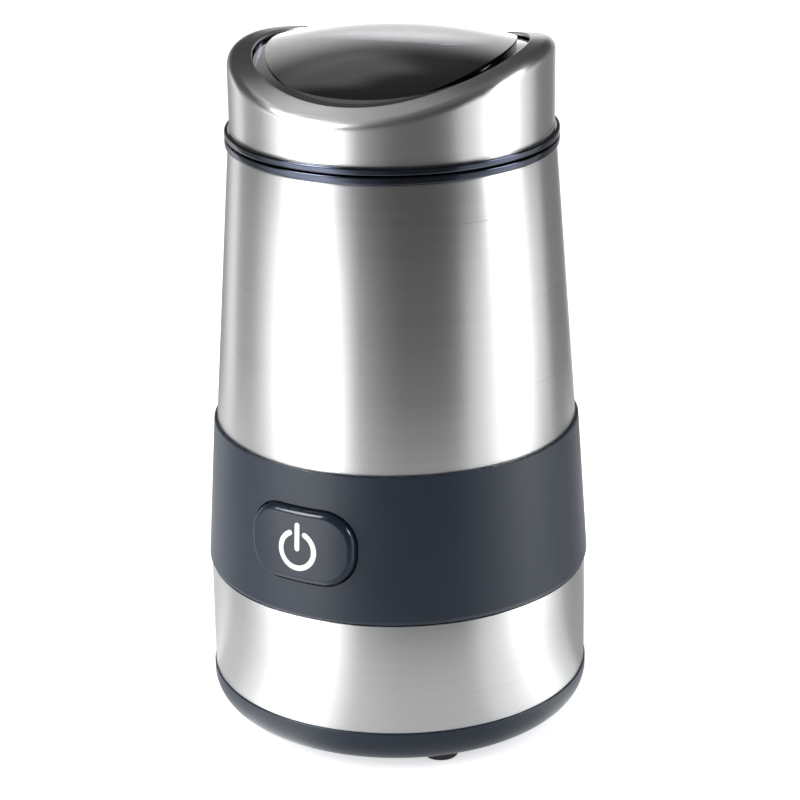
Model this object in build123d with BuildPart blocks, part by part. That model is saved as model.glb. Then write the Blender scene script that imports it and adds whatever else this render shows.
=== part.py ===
"""Electric blade grinder for coffee and spices.

A motor stands upright in a tapered body. Its shaft comes up through the floor of a steel bowl
and carries the blade. The lid lifts off; its tab works a safety switch through a push rod.
Millimetres, +Z up, the origin on the table under the body's axis, the button towards -Y.
"""

import os
from math import cos, pi, radians, sin, sqrt, tan

from build123d import *

os.makedirs("parts", exist_ok=True)

# Heights of the outside, one above the other
foot_stand = 2.0
base_height = 10.0
lower_ring_height = 30.1
band_height = 39.7
sleeve_height = 73.5
bead_height = 1.9
lid_seam = 0.3

# Radii of the outside
base_r = 50.0
base_stand = 0.35
base_round = 8.0
base_edge = 0.4
band_stand_low = 0.6
band_stand_high = 0.8
band_round = 1.5
sleeve_bottom_r = 47.2
sleeve_top_r = 41.9
sleeve_tuck = 2.0
bead_stand = 0.75
bead_round = 0.8
lid_inset = 0.5

# Walls and clearances
steel = 0.8
plastic = 2.0
band_wall = 2.2
base_floor = 2.5
shell_gap = 0.1
running_fit = 0.1
press_gap = 0.05
moving_gap = 0.3
cut_over = 1.0

# Lid: a rim cut by a wide cylinder, and a dome that is a barrel's crown. Both lie along X, tilted
# so that their +X end is the higher one.
lid_turn = 11.5
saddle_tilt = 1.6
saddle_r = 94.6
saddle_y = 3.8
saddle_rise = 21.4
rim_round = 2.6
rim_land = 6.4
rim_lip = 0.35
cup_gap = 0.2
ledge_drop = 1.4
cup_wall = 2.0
ledge_width = 3.0
dome_rise = 4.0
dome_y = 2.2
dome_cross_r = 50.5
dome_long_r = 130.0
skirt_wall = 1.8
skirt_depth = 5.3
tab_width = 6.0
tab_thickness = 1.8
tab_depth = 4.2

# Bowl and the collar that carries it
bowl_flange = 2.8
bowl_depth = 38.0
bowl_corner = 9.2
bowl_rim_drop = 5.4
collar_ledge = 2.0
mouth_gap = 0.4
seal_flange_r = 8.0
seal_neck_r = 5.0
seal_lip = 1.6

# Button in the band
button_width = 29.6
button_height = 19.4
button_corner = 8.5
button_gap = 0.5
button_proud = 1.9
button_round = 1.8
button_rise = 19.85
button_travel = 2.0
button_depth = 7.6
button_flange = 1.6
button_flange_margin = 1.6
button_stem_r = 3.0

# Power symbol on the button
symbol_ring_r = 4.77
symbol_line = 1.4
symbol_opening = 54.0
symbol_ring_drop = 0.75
symbol_bar_bottom = 1.05
symbol_bar_top = 6.5
symbol_depth = 0.4
symbol_proud = 0.05

# Motor
shaft_r = 3.0
shaft_thread_r = 2.5
core_height = 24.0
core_width = 54.0
core_depth = 46.0
core_corner = 6.0
armature_r = 15.0
air_gap = 0.5
armature_slots = 12
armature_slot_width = 1.6
armature_slot_depth = 3.0
coil_inset = 1.0
coil_width = 5.0
coil_end = 6.0
coil_side_start = 8.0
coil_side_end = 32.0
coil_window_margin = 2.0
coil_gap = 0.2
winding_inset = 1.5
winding_lower = 5.0
winding_upper = 6.5
winding_round = 2.0
winding_shaft_gap = 1.0
commutator_r = 9.0
commutator_length = 11.5
commutator_rise = 5.0
commutator_bars = 12
commutator_groove = 0.5
bearing_r = 6.4
bearing_length = 7.0
bearing_wall = 2.6
bearing_lip = 1.5
bearing_lip_r = 5.0
bracket_plate = 3.0
bracket_depth = 14.0
leg_width = 6.0
leg_height_upper = 12.5
leg_height_lower = 22.0
cross_plate_margin = 1.0
screw_r = 1.5
screw_clearance = 0.1
screw_head_r = 3.0
screw_head_height = 2.2
screw_recess = 0.6
motor_screw_inset = 2.7
mount_reach = 6.0
mount_boss = 3.5
mount_r = 5.0
mount_neck_r = 3.0
mount_flange = 2.0
mount_head_r = 4.0
brush_width = 5.0
brush_height = 8.0
brush_length = 10.0
brush_play = 0.1
holder_wall = 1.4
holder_length = 16.0
holder_gap = 2.0
fan_r = 20.0
fan_height = 9.2
fan_disc = 1.2
fan_blades = 10
fan_hub_r = 5.0
fan_gap = 2.0

# Blade on the shaft's end
blade_height = 4.7
blade_to_bowl = 3.5
blade_tip = 11.5
blade_width = 10.0
blade_thickness = 1.4
blade_rise = 4.5
blade_dip = 1.2
blade_bevel = 0.5
hub_r = 5.0
hub_gap = 0.6
nut_r = 5.5
nut_height = 4.6
nut_round = 1.15
nut_crown = 1.5

# Chassis inside the sleeves
deck_thickness = 3.0
bowl_rest_height = 7.0
bowl_rest_r = 20.0
bowl_rest_wall = 2.0
shelf_gap = 3.5
shelf_below = 7.65
shelf_above = 11.35
opening_margin = 3.0
spigot_height = 6.0
boss_r = 5.7
boss_overlap = 0.2
boss_height = 16.0
boss_angle = 22.5

# Switches
switch_width = 20.0
switch_height = 12.0
switch_depth = 7.5
plunger_r = 1.25
plunger_length = 5.0
plunger_rest = 0.5
rod_to_bowl = 3.4
rod_to_collar = 3.6
interlock_switch_height = 10.0
interlock_switch_depth = 6.4
interlock_plunger_r = 1.0
interlock_plunger_stand = 2.0
rod_r = 1.2
rod_collar_r = 2.6
rod_collar_height = 1.5
rod_spring_length = 8.0
rod_seat_rise = 14.0
rod_seat_height = 2.0
rod_seat_width = 8.0
rod_seat_reach = 6.5
guide_wall = 1.6
guide_width = 7.0
guide_length = 7.0
spring_wire_r = 0.3
rod_spring_r = 2.0
rod_spring_turns = 6
button_spring_wire_r = 0.4
button_spring_r = 3.9
button_spring_turns = 4
brush_spring_wire_r = 0.25
brush_spring_r = 1.7
brush_spring_turns = 6

# Small electrical pieces
cutout_length = 12.0
cutout_width = 4.5
cutout_height = 3.0
capacitor_width = 12.0
capacitor_depth = 7.0
capacitor_height = 14.0
small_round = 1.0
capacitor_gap = 3.5
lead_r = 1.0
lead_turn = 6.0
lead_pair = 2.0
lead_start = 9.0
lead_rise = 4.0
lead_boss_gap = 1.4
lead_wall_gap = 2.3
inlet_r = 3.2
inlet_outer_r = 5.2
inlet_flange_r = 7.5
inlet_flange = 2.8
inlet_rise = 12.0
inlet_length = 7.8
inlet_proud = 1.2
inlet_round = 0.6

# Feet, base screws and air slots
foot_r = 4.5
foot_inset = 10.5
foot_angle = 45.0
foot_recess = 1.5
foot_round = 0.8
base_screw_length = 23.0
base_screw_sink = 3.0
slot_count = 20
slot_width = 2.4
slot_length = 12.0
slot_circle_r = 24.0

# Levels that follow from the heights, from the table up to the lid
base_bottom = foot_stand
base_top = base_bottom + base_height
spigot_top = base_top + spigot_height
inlet_z = base_top + inlet_rise
band_bottom = base_top + lower_ring_height
button_z = band_bottom + button_rise
band_top = band_bottom + band_height
bead_bottom = band_top + sleeve_height
mouth = bead_bottom + bead_height
lid_bottom = mouth + lid_seam
flange_top = lid_bottom + bead_height
saddle_crest = flange_top + saddle_rise
dome_crest = saddle_crest + dome_rise

# Levels inside, from the mouth down to the fan: the bowl hangs in the collar, the motor on the deck
bowl_rim = mouth - bowl_rim_drop
collar_bottom = bowl_rim - steel - collar_ledge
bowl_floor = bowl_rim - bowl_depth
seal_top = bowl_floor + seal_lip
deck_top = bowl_floor - steel - bowl_rest_height
deck_bottom = deck_top - deck_thickness
mount_top = deck_bottom - mount_boss
ear_top = mount_top - mount_flange
ear_bottom = ear_top - bracket_plate
core_top = ear_bottom - leg_height_upper
core_bottom = core_top - core_height
lower_plate_top = core_bottom - leg_height_lower
lower_plate_bottom = lower_plate_top - bracket_plate
commutator_bottom = lower_plate_top + commutator_rise
upper_cup_bottom = ear_bottom - bracket_plate - bearing_lip / 2
upper_cup_top = upper_cup_bottom + bearing_lip + bearing_length + press_gap
lower_cup_top = lower_plate_top + 2 * bearing_lip
lower_cup_bottom = lower_cup_top - bearing_lip - bearing_length - press_gap
fan_bottom = lower_cup_bottom - fan_gap - fan_disc - fan_height
interlock_top = deck_top + interlock_switch_height
rod_seat_z = deck_top + rod_seat_rise
rod_collar_z = rod_seat_z + rod_seat_height + rod_spring_length

# Radii and places across that follow from the values above. The push rod runs straight down, so
# the narrower of the mouth and the deck sets its circle, and the bowl fits inside that circle.
base_out = base_r + base_stand
inner_wall_r = base_r - steel - shell_gap - plastic
boss_circle_r = inner_wall_r + boss_overlap - boss_r
foot_circle_r = base_r - foot_inset
band_bottom_r = base_r + band_stand_low
band_top_r = sleeve_bottom_r + band_stand_high
sleeve_slope = (sleeve_bottom_r - sleeve_top_r) / sleeve_height
band_slope = (band_bottom_r - band_top_r) / band_height
bead_r = sleeve_top_r + bead_stand
lid_r = sleeve_top_r - lid_inset
rim_hole_r = lid_r - rim_land
cup_out_r = rim_hole_r - cup_gap
dome_r = cup_out_r - ledge_width
saddle_axis = (0, saddle_y, saddle_crest - saddle_r)
ridge = (cos(radians(saddle_tilt)), 0, sin(radians(saddle_tilt)))
collar_out = sleeve_top_r - steel - shell_gap
deck_wall_r = sleeve_top_r + sleeve_slope * (bead_bottom - interlock_top) - steel - shell_gap - plastic
mouth_fit_r = collar_out - rod_to_collar
deck_fit_r = sqrt(deck_wall_r**2 - switch_width**2 / 4) - interlock_switch_depth / 2
interlock_r = min(mouth_fit_r, deck_fit_r)
bowl_out = interlock_r - rod_to_bowl - rod_r
bowl_r = bowl_out - steel
mouth_r = bowl_out + bowl_flange + 2 * mouth_gap
skirt_r = mouth_r - mouth_gap
core_bore_r = armature_r + air_gap
coil_inner_r = core_bore_r + coil_inset
coil_outer_r = coil_inner_r + coil_width
winding_r = armature_r - winding_inset
motor_screw_x = core_width / 2 - motor_screw_inset
mount_x = core_width / 2 + mount_reach
holder_start = commutator_r + holder_gap
holder_end = holder_start + holder_length
shelf_y = core_depth / 2 + shelf_gap + plastic
switch_front = shelf_y + switch_depth
plunger_tip = switch_front + button_travel + plunger_rest
stem_end = plunger_tip + moving_gap
inlet_end = base_r + inlet_proud
inlet_inner = inlet_end - inlet_length
capacitor_x = switch_width / 2 + capacitor_gap + capacitor_width / 2
rod_place = (-interlock_r * sin(radians(lid_turn)), interlock_r * cos(radians(lid_turn)))
across = (cos(radians(lid_turn)), sin(radians(lid_turn)))
switch_side = tuple(rod_place[n] - switch_width / 2 * across[n] for n in (0, 1))
lead_hole = tuple(switch_side[n] - lead_turn * across[n] for n in (0, 1))
lead_z = deck_top + interlock_switch_height / 2
lead_low_r = boss_circle_r - boss_r - lead_boss_gap - lead_r
lead_high_r = deck_wall_r - lead_wall_gap - lead_r


def sleeve_radius(z):
    """Outer radius of the tapered steel sleeve at a height."""
    return sleeve_bottom_r - sleeve_slope * (z - band_top)


def band_radius(z):
    """Outer radius of the plastic band at a height."""
    return band_bottom_r - band_slope * (z - band_bottom)


def turned(points):
    """Solid of revolution about Z from a closed outline of (radius, height) points."""
    with BuildPart() as body:
        with BuildSketch(Plane.XZ):
            with BuildLine():
                Polyline(*points, close=True)
            make_face()
        revolve(axis=Axis.Z)
    return body.part


def ring(inner, outer, bottom, top):
    """Plain ring about Z."""
    return turned([(inner, bottom), (outer, bottom), (outer, top), (inner, top)])


def under_saddle(radius, drop, bottom, edge_round=0):
    """Round plug under the lid's saddle cut, the cut lowered by drop."""
    with BuildPart() as plug:
        with BuildSketch(Plane.XY.offset(bottom)):
            Circle(radius)
        extrude(amount=saddle_crest - bottom + radius)
        with BuildSketch(Plane(saddle_axis, x_dir=(0, 1, 0), z_dir=ridge)):
            Circle(saddle_r - drop)
        extrude(amount=2 * radius, both=True, mode=Mode.INTERSECT)
        if edge_round > 0:
            fillet(plug.faces().sort_by(Axis.Z)[-1].edges(), radius=edge_round)
    return plug.part


def barrel(radius, inset):
    """Plug under the dome's barrel-shaped crown, the crown lowered by inset."""
    half = radius + cut_over
    crown = dome_cross_r - inset
    edge = crown - dome_long_r + inset + sqrt((dome_long_r - inset) ** 2 - half**2)
    with BuildPart() as crown_body:
        with BuildSketch(Plane.XZ):
            with BuildLine():
                Line((-half, 0), (half, 0))
                Line((half, 0), (half, edge))
                ThreePointArc((half, edge), (0, crown), (-half, edge))
                Line((-half, edge), (-half, 0))
            make_face()
        revolve(axis=Axis.X)
    with BuildPart() as plug:
        tilted = Rot(0, -saddle_tilt, 0) * Pos(0, 0, -dome_cross_r) * crown_body.part
        add(Pos(0, dome_y, dome_crest) * tilted)
        with BuildSketch(Plane.XY.offset(lid_bottom)):
            Circle(radius)
        extrude(amount=saddle_crest, mode=Mode.INTERSECT)
    return plug.part


def coil_spring(axis_plane, radius, wire_r, length, turns):
    """Helical spring along a plane's normal, its wire one unbroken tube between the two seats."""
    rise = length - 2 * wire_r
    with BuildPart() as spring:
        with BuildLine():
            path = Helix(rise / turns, rise, radius, center=(0, 0, wire_r))
        with BuildSketch(Plane(origin=path @ 0, z_dir=path % 0)):
            Circle(wire_r)
        sweep(path=path, is_frenet=True)
    gap = rise / turns - 2 * wire_r
    wire_length = turns * sqrt((2 * pi * radius) ** 2 + (rise / turns) ** 2)
    ratio = spring.part.volume / (pi * wire_r**2 * wire_length)
    print(f"spring of {turns} turns: least gap {gap:.2f} mm, volume ratio {ratio:.3f}")
    return axis_plane.location * spring.part


# Base: cup with a rounded lower edge, an upright spigot, air slots, bosses and foot seats
with BuildPart() as base_cover:
    inner_round = base_round - base_floor
    with BuildSketch(Plane.XZ):
        with BuildLine():
            Line((0, base_bottom), (base_out - base_round, base_bottom))
            RadiusArc(
                (base_out - base_round, base_bottom), (base_out, base_bottom + base_round), -base_round
            )
            Line((base_out, base_bottom + base_round), (base_out, base_top - base_edge))
            RadiusArc((base_out, base_top - base_edge), (base_out - base_edge, base_top), -base_edge)
            Line((base_out - base_edge, base_top), (inner_wall_r + plastic, base_top))
            Line((inner_wall_r + plastic, base_top), (inner_wall_r + plastic, spigot_top))
            Line((inner_wall_r + plastic, spigot_top), (inner_wall_r, spigot_top))
            Line((inner_wall_r, spigot_top), (inner_wall_r, base_bottom + base_round))
            RadiusArc(
                (inner_wall_r, base_bottom + base_round),
                (inner_wall_r - inner_round, base_bottom + base_floor),
                inner_round,
            )
            Line((inner_wall_r - inner_round, base_bottom + base_floor), (0, base_bottom + base_floor))
            Line((0, base_bottom + base_floor), (0, base_bottom))
        make_face()
    revolve(axis=Axis.Z)
    with BuildSketch(Plane.XY.offset(base_bottom + base_floor)):
        with PolarLocations(boss_circle_r, 4, start_angle=boss_angle):
            Circle(boss_r)
    extrude(amount=spigot_top - base_bottom - base_floor)
    with BuildSketch(Plane.XY.offset(spigot_top)):
        Circle(base_r)
        Circle(inner_wall_r + plastic, mode=Mode.SUBTRACT)
    extrude(amount=-spigot_height, mode=Mode.SUBTRACT)
    with BuildSketch(Plane.XY.offset(base_bottom)):
        with PolarLocations(foot_circle_r, 4, start_angle=foot_angle):
            Circle(foot_r + shell_gap)
    extrude(amount=foot_recess, mode=Mode.SUBTRACT)
    with BuildSketch(Plane.XY.offset(base_bottom)):
        with PolarLocations(boss_circle_r, 4, start_angle=boss_angle):
            Circle(screw_head_r + 2 * screw_clearance)
    extrude(amount=base_screw_sink + screw_head_height, mode=Mode.SUBTRACT)
    with BuildSketch(Plane.XY.offset(base_bottom)):
        with PolarLocations(boss_circle_r, 4, start_angle=boss_angle):
            Circle(screw_r + screw_clearance)
    extrude(amount=spigot_top, mode=Mode.SUBTRACT)
    with BuildSketch(Plane.XY.offset(base_bottom)):
        with PolarLocations(slot_circle_r, slot_count):
            SlotOverall(slot_length, slot_width)
    extrude(amount=base_floor, mode=Mode.SUBTRACT)
base_cover.part.label = "base_cover"
export_step(base_cover.part, "parts/base_cover.step")

# Feet: rubber pads seated in the base
with BuildPart() as feet:
    with BuildSketch():
        with PolarLocations(foot_circle_r, 4, start_angle=foot_angle):
            Circle(foot_r)
    extrude(amount=foot_stand + foot_recess)
    fillet(feet.edges().group_by(Axis.Z)[0], radius=foot_round)
feet.part.label = "feet"
export_step(feet.part, "parts/feet.step")

# Screws that hold the base to the chassis
with BuildPart() as base_screws:
    with BuildSketch(Plane.XY.offset(base_bottom + base_screw_sink)):
        with PolarLocations(boss_circle_r, 4, start_angle=boss_angle):
            Circle(screw_head_r)
    extrude(amount=screw_head_height)
    with BuildSketch(Plane.XY.offset(base_bottom + base_screw_sink)):
        with PolarLocations(boss_circle_r, 4, start_angle=boss_angle):
            Circle(screw_r)
    extrude(amount=base_screw_length)
    with BuildSketch(Plane.XY.offset(base_bottom + base_screw_sink)):
        with PolarLocations(boss_circle_r, 4, start_angle=boss_angle):
            Rectangle(screw_head_r, screw_recess)
            Rectangle(screw_recess, screw_head_r)
    extrude(amount=screw_head_height / 2, mode=Mode.SUBTRACT)
base_screws.part.label = "base_screws"
export_step(base_screws.part, "parts/base_screws.step")

# Steel ring between base and band, with the cord's opening at the back
with BuildPart() as lower_shell:
    add(ring(base_r - steel, base_r, base_top, band_bottom))
    with BuildSketch(Plane.XZ.offset(-base_r / 2)):
        with Locations((0, inlet_z)):
            Circle(inlet_outer_r + shell_gap)
    extrude(amount=-base_r, mode=Mode.SUBTRACT)
lower_shell.part.label = "lower_shell"
export_step(lower_shell.part, "parts/lower_shell.step")

# Plastic band: a cone with a rounded lower edge, a lip over the sleeve and the button's pocket
band_lip = band_top_r - sleeve_bottom_r - shell_gap
with BuildPart() as control_band:
    low_outer = band_radius(band_bottom)
    low_inner = band_radius(band_bottom) - band_wall
    tuck_inner = band_radius(band_top - sleeve_tuck) - band_wall
    lip_inner = sleeve_radius(band_top - sleeve_tuck) + shell_gap
    with BuildSketch(Plane.XZ):
        with BuildLine():
            Polyline(
                (low_inner, band_bottom),
                (low_outer, band_bottom),
                (band_top_r, band_top),
                (sleeve_bottom_r + shell_gap, band_top),
                (lip_inner, band_top - sleeve_tuck),
                (tuck_inner, band_top - sleeve_tuck),
                close=True,
            )
        make_face()
        corner = vertices().sort_by_distance((low_outer, band_bottom, 0))[0]
        fillet(corner, radius=band_round)
        corner = vertices().sort_by_distance((band_top_r, band_top, 0))[0]
        fillet(corner, radius=band_lip / 2)
    revolve(axis=Axis.Z)
    with BuildSketch(Plane.XZ.offset(base_r / 2)):
        with Locations((0, button_z)):
            RectangleRounded(
                button_width + 2 * button_gap,
                button_height + 2 * button_gap,
                button_corner + button_gap,
            )
    extrude(amount=base_r, mode=Mode.SUBTRACT)
control_band.part.label = "control_band"
export_step(control_band.part, "parts/control_band.step")

# Tapered steel sleeve, its lower edge tucked into the band
with BuildPart() as upper_shell:
    add(
        turned(
            [
                (sleeve_radius(band_top - sleeve_tuck) - steel, band_top - sleeve_tuck),
                (sleeve_radius(band_top - sleeve_tuck), band_top - sleeve_tuck),
                (sleeve_top_r, bead_bottom),
                (sleeve_top_r - steel, bead_bottom),
            ]
        )
    )
upper_shell.part.label = "upper_shell"
export_step(upper_shell.part, "parts/upper_shell.step")

# Chassis: a tube that fills the sleeves, with a deck, a switch shelf, bosses and a spring seat
ring_out = base_r - steel - shell_gap
band_out_low = band_radius(band_bottom) - band_wall - shell_gap
band_out_high = band_radius(band_top - sleeve_tuck) - band_wall - shell_gap
sleeve_out_low = sleeve_radius(band_top - sleeve_tuck) - steel - shell_gap
sleeve_out_high = sleeve_radius(collar_bottom) - steel - shell_gap
with BuildPart() as cavity:
    add(
        turned(
            [
                (0, spigot_top),
                (ring_out - plastic, spigot_top),
                (ring_out - plastic, band_bottom - plastic),
                (band_out_low - plastic, band_bottom),
                (band_out_high - plastic, band_top - sleeve_tuck),
                (sleeve_out_low - plastic, band_top),
                (sleeve_out_high - plastic, collar_bottom),
                (0, collar_bottom),
            ]
        )
    )
    with BuildSketch(Plane.XY.offset(deck_bottom)):
        Circle(base_r)
    extrude(amount=deck_thickness, mode=Mode.SUBTRACT)
    with BuildSketch(Plane.XY.offset(deck_top)):
        Circle(bowl_rest_r + bowl_rest_wall)
        Circle(bowl_rest_r, mode=Mode.SUBTRACT)
    extrude(amount=bowl_floor - steel - deck_top, mode=Mode.SUBTRACT)
    with BuildSketch(Plane.XY.offset(mount_top)):
        with Locations((mount_x, 0), (-mount_x, 0)):
            Circle(mount_r)
    extrude(amount=mount_boss, mode=Mode.SUBTRACT)
    with BuildSketch(Plane.XZ.offset(shelf_y)):
        with Locations((0, button_z + (shelf_above - shelf_below) / 2)):
            Rectangle(2 * base_r, shelf_above + shelf_below)
    extrude(amount=-plastic, mode=Mode.SUBTRACT)
    with BuildSketch(Plane.XY.offset(spigot_top)):
        with PolarLocations(boss_circle_r, 4, start_angle=boss_angle):
            Circle(boss_r)
    extrude(amount=boss_height, mode=Mode.SUBTRACT)
    with BuildSketch(Plane.XY.offset(rod_seat_z)):
        seat_middle_r = interlock_r - rod_collar_r + rod_seat_reach
        with PolarLocations(seat_middle_r, 1, start_angle=90 + lid_turn):
            Rectangle(2 * rod_seat_reach, rod_seat_width)
    extrude(amount=rod_seat_height, mode=Mode.SUBTRACT)
with BuildPart() as inner_housing:
    add(
        turned(
            [
                (0, spigot_top),
                (ring_out, spigot_top),
                (ring_out, band_bottom),
                (band_out_low, band_bottom),
                (band_out_high, band_top - sleeve_tuck),
                (sleeve_out_low, band_top - sleeve_tuck),
                (sleeve_out_high, collar_bottom),
                (0, collar_bottom),
            ]
        )
    )
    add(cavity.part, mode=Mode.SUBTRACT)
    with BuildSketch(Plane.XY.offset(deck_bottom)):
        Circle(seal_neck_r)
    extrude(amount=deck_thickness, mode=Mode.SUBTRACT)
    with BuildSketch(Plane.XY.offset(mount_top)):
        with Locations((mount_x, 0), (-mount_x, 0)):
            Circle(screw_r + press_gap)
    extrude(amount=mount_boss + deck_thickness / 2, mode=Mode.SUBTRACT)
    with BuildSketch(Plane.XY.offset(spigot_top)):
        with PolarLocations(boss_circle_r, 4, start_angle=boss_angle):
            Circle(screw_r + press_gap)
    extrude(amount=boss_height - plastic, mode=Mode.SUBTRACT)
    with BuildSketch(Plane.XZ.offset(shelf_y + opening_margin)):
        with Locations((0, button_z)):
            RectangleRounded(
                button_width + 2 * opening_margin,
                button_height + 2 * opening_margin,
                button_corner + opening_margin,
            )
    extrude(amount=base_r, mode=Mode.SUBTRACT)
    with BuildSketch(Plane.XZ.offset(shelf_y)):
        with Locations((capacitor_x, button_z)):
            Rectangle(capacitor_width + 2 * moving_gap, capacitor_height + 2 * moving_gap)
    extrude(amount=capacitor_depth + moving_gap, mode=Mode.SUBTRACT)
    with BuildSketch(Plane.XZ.offset(-base_r / 2)):
        with Locations((0, inlet_z)):
            Circle(inlet_outer_r + shell_gap)
    extrude(amount=-base_r, mode=Mode.SUBTRACT)
    with BuildSketch(Plane.XY.offset(rod_seat_z)):
        with Locations(rod_place):
            Circle(rod_r + moving_gap)
    extrude(amount=rod_seat_height, mode=Mode.SUBTRACT)
    with BuildSketch(Plane.XY.offset(collar_bottom - guide_length - mouth_gap)):
        with PolarLocations(interlock_r, 1, start_angle=90 + lid_turn):
            Rectangle(2 * (rod_r + guide_wall + mouth_gap), guide_width + 2 * mouth_gap)
    extrude(amount=guide_length + mouth_gap, mode=Mode.SUBTRACT)
    with BuildSketch(Plane.XY.offset(deck_bottom)):
        with Locations(lead_hole):
            Circle(lead_r + moving_gap)
    extrude(amount=deck_thickness, mode=Mode.SUBTRACT)
inner_housing.part.label = "inner_housing"
export_step(inner_housing.part, "parts/inner_housing.step")

# Collar at the mouth: bead outside, ledge for the bowl inside, slot for the lid's tab
with BuildPart() as bowl_collar:
    with BuildSketch(Plane.XZ):
        with BuildLine():
            Polyline(
                (bowl_out + mouth_gap, collar_bottom),
                (collar_out, collar_bottom),
                (collar_out, bead_bottom),
                (bead_r, bead_bottom),
                (bead_r, mouth),
                (mouth_r, mouth),
                (mouth_r, bowl_rim - steel),
                (bowl_out + mouth_gap, bowl_rim - steel),
                close=True,
            )
        make_face()
        outer = vertices().filter_by(lambda v: v.X > bead_r - shell_gap)
        fillet(outer, radius=bead_round)
    revolve(axis=Axis.Z)
    with BuildSketch(Plane.XY.offset(collar_bottom)):
        with PolarLocations(interlock_r, 1, start_angle=90 + lid_turn):
            Rectangle(2 * (rod_r + guide_wall), guide_width)
    extrude(amount=-guide_length)
    with BuildSketch(Plane.XY.offset(collar_bottom - guide_length)):
        with Locations(rod_place):
            Circle(rod_r + running_fit)
    extrude(amount=guide_length + collar_ledge + steel, mode=Mode.SUBTRACT)
    with BuildSketch(Plane.XY.offset(bowl_rim)):
        with PolarLocations(interlock_r, 1, start_angle=90 + lid_turn):
            Rectangle(2 * rod_r + 2 * mouth_gap, tab_width + 2 * mouth_gap)
    extrude(amount=bowl_rim_drop, mode=Mode.SUBTRACT)
bowl_collar.part.label = "bowl_collar"
export_step(bowl_collar.part, "parts/bowl_collar.step")

# Bowl: drawn steel cup with a flange at its rim and a hole for the shaft
with BuildPart() as grinding_bowl:
    with BuildSketch(Plane.XZ):
        with BuildLine():
            outer_corner = bowl_corner + steel
            Line((seal_neck_r, bowl_floor - steel), (bowl_out - outer_corner, bowl_floor - steel))
            RadiusArc(
                (bowl_out - outer_corner, bowl_floor - steel),
                (bowl_out, bowl_floor - steel + outer_corner),
                -outer_corner,
            )
            Line((bowl_out, bowl_floor - steel + outer_corner), (bowl_out, bowl_rim - steel))
            Line((bowl_out, bowl_rim - steel), (bowl_out + bowl_flange, bowl_rim - steel))
            Line((bowl_out + bowl_flange, bowl_rim - steel), (bowl_out + bowl_flange, bowl_rim))
            Line((bowl_out + bowl_flange, bowl_rim), (bowl_r, bowl_rim))
            Line((bowl_r, bowl_rim), (bowl_r, bowl_floor + bowl_corner))
            RadiusArc(
                (bowl_r, bowl_floor + bowl_corner), (bowl_r - bowl_corner, bowl_floor), bowl_corner
            )
            Line((bowl_r - bowl_corner, bowl_floor), (seal_neck_r, bowl_floor))
            Line((seal_neck_r, bowl_floor), (seal_neck_r, bowl_floor - steel))
        make_face()
    revolve(axis=Axis.Z)
grinding_bowl.part.label = "grinding_bowl"
export_step(grinding_bowl.part, "parts/grinding_bowl.step")

# Rubber seal that clips into the bowl's floor round the shaft
with BuildPart() as bowl_seal:
    add(
        turned(
            [
                (shaft_r + running_fit, bowl_floor - steel - seal_lip),
                (seal_flange_r, bowl_floor - steel - seal_lip),
                (seal_flange_r, bowl_floor - steel),
                (seal_neck_r - press_gap, bowl_floor - steel),
                (seal_neck_r - press_gap, bowl_floor),
                (seal_flange_r, bowl_floor),
                (seal_flange_r - seal_lip, seal_top),
                (shaft_r + running_fit, seal_top),
            ]
        )
    )
bowl_seal.part.label = "bowl_seal"
export_step(bowl_seal.part, "parts/bowl_seal.step")

# Field core: a stack with two pole faces, windows for the coils and holes for the long screws
with BuildPart() as stator_core:
    with BuildSketch(Plane.XY.offset(core_bottom)):
        RectangleRounded(core_width, core_depth, core_corner)
        Circle(core_bore_r, mode=Mode.SUBTRACT)
        with Locations((motor_screw_x, 0), (-motor_screw_x, 0)):
            Circle(screw_r + screw_clearance, mode=Mode.SUBTRACT)
    extrude(amount=core_height)
    window_r = coil_outer_r + coil_gap
    window_half = radians(coil_side_end + coil_window_margin)
    for side in (1, -1):
        with BuildSketch(Plane.XY.offset(core_bottom)):
            with BuildLine():
                low = (side * window_r * cos(window_half), -window_r * sin(window_half))
                high = (side * window_r * cos(window_half), window_r * sin(window_half))
                Line((0, 0), low)
                ThreePointArc(low, (side * window_r, 0), high)
                Line(high, (0, 0))
            make_face()
        extrude(amount=core_height, mode=Mode.SUBTRACT)
stator_core.part.label = "stator_core"
export_step(stator_core.part, "parts/stator_core.step")


def sector(inner, outer, start, end, bottom, top):
    """Ring sector between two angles in degrees, counted from +X."""
    middle = (start + end) / 2

    def at(radius, angle):
        return (radius * cos(radians(angle)), radius * sin(radians(angle)))

    with BuildPart() as piece:
        with BuildSketch(Plane.XY.offset(bottom)):
            with BuildLine():
                ThreePointArc(at(outer, start), at(outer, middle), at(outer, end))
                Line(at(outer, end), at(inner, end))
                ThreePointArc(at(inner, end), at(inner, middle), at(inner, start))
                Line(at(inner, start), at(outer, start))
            make_face()
        extrude(amount=top - bottom)
    return piece.part


# Field coils: each a saddle round its pole, with end turns above and below the core
with BuildPart() as field_coils:
    for pole in (0, 180):
        coil_bottom = core_bottom - coil_end
        coil_top = core_top + coil_end
        add(
            sector(
                coil_inner_r,
                coil_outer_r,
                pole + coil_side_start,
                pole + 180 - coil_side_start,
                coil_bottom,
                coil_top,
            )
        )
        add(
            sector(
                coil_inner_r - coil_gap,
                coil_outer_r + coil_gap,
                pole + coil_side_end,
                pole + 180 - coil_side_end,
                core_bottom - coil_gap,
                core_top + coil_gap,
            ),
            mode=Mode.SUBTRACT,
        )
field_coils.part.label = "field_coils"
export_step(field_coils.part, "parts/field_coils.step")

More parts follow.
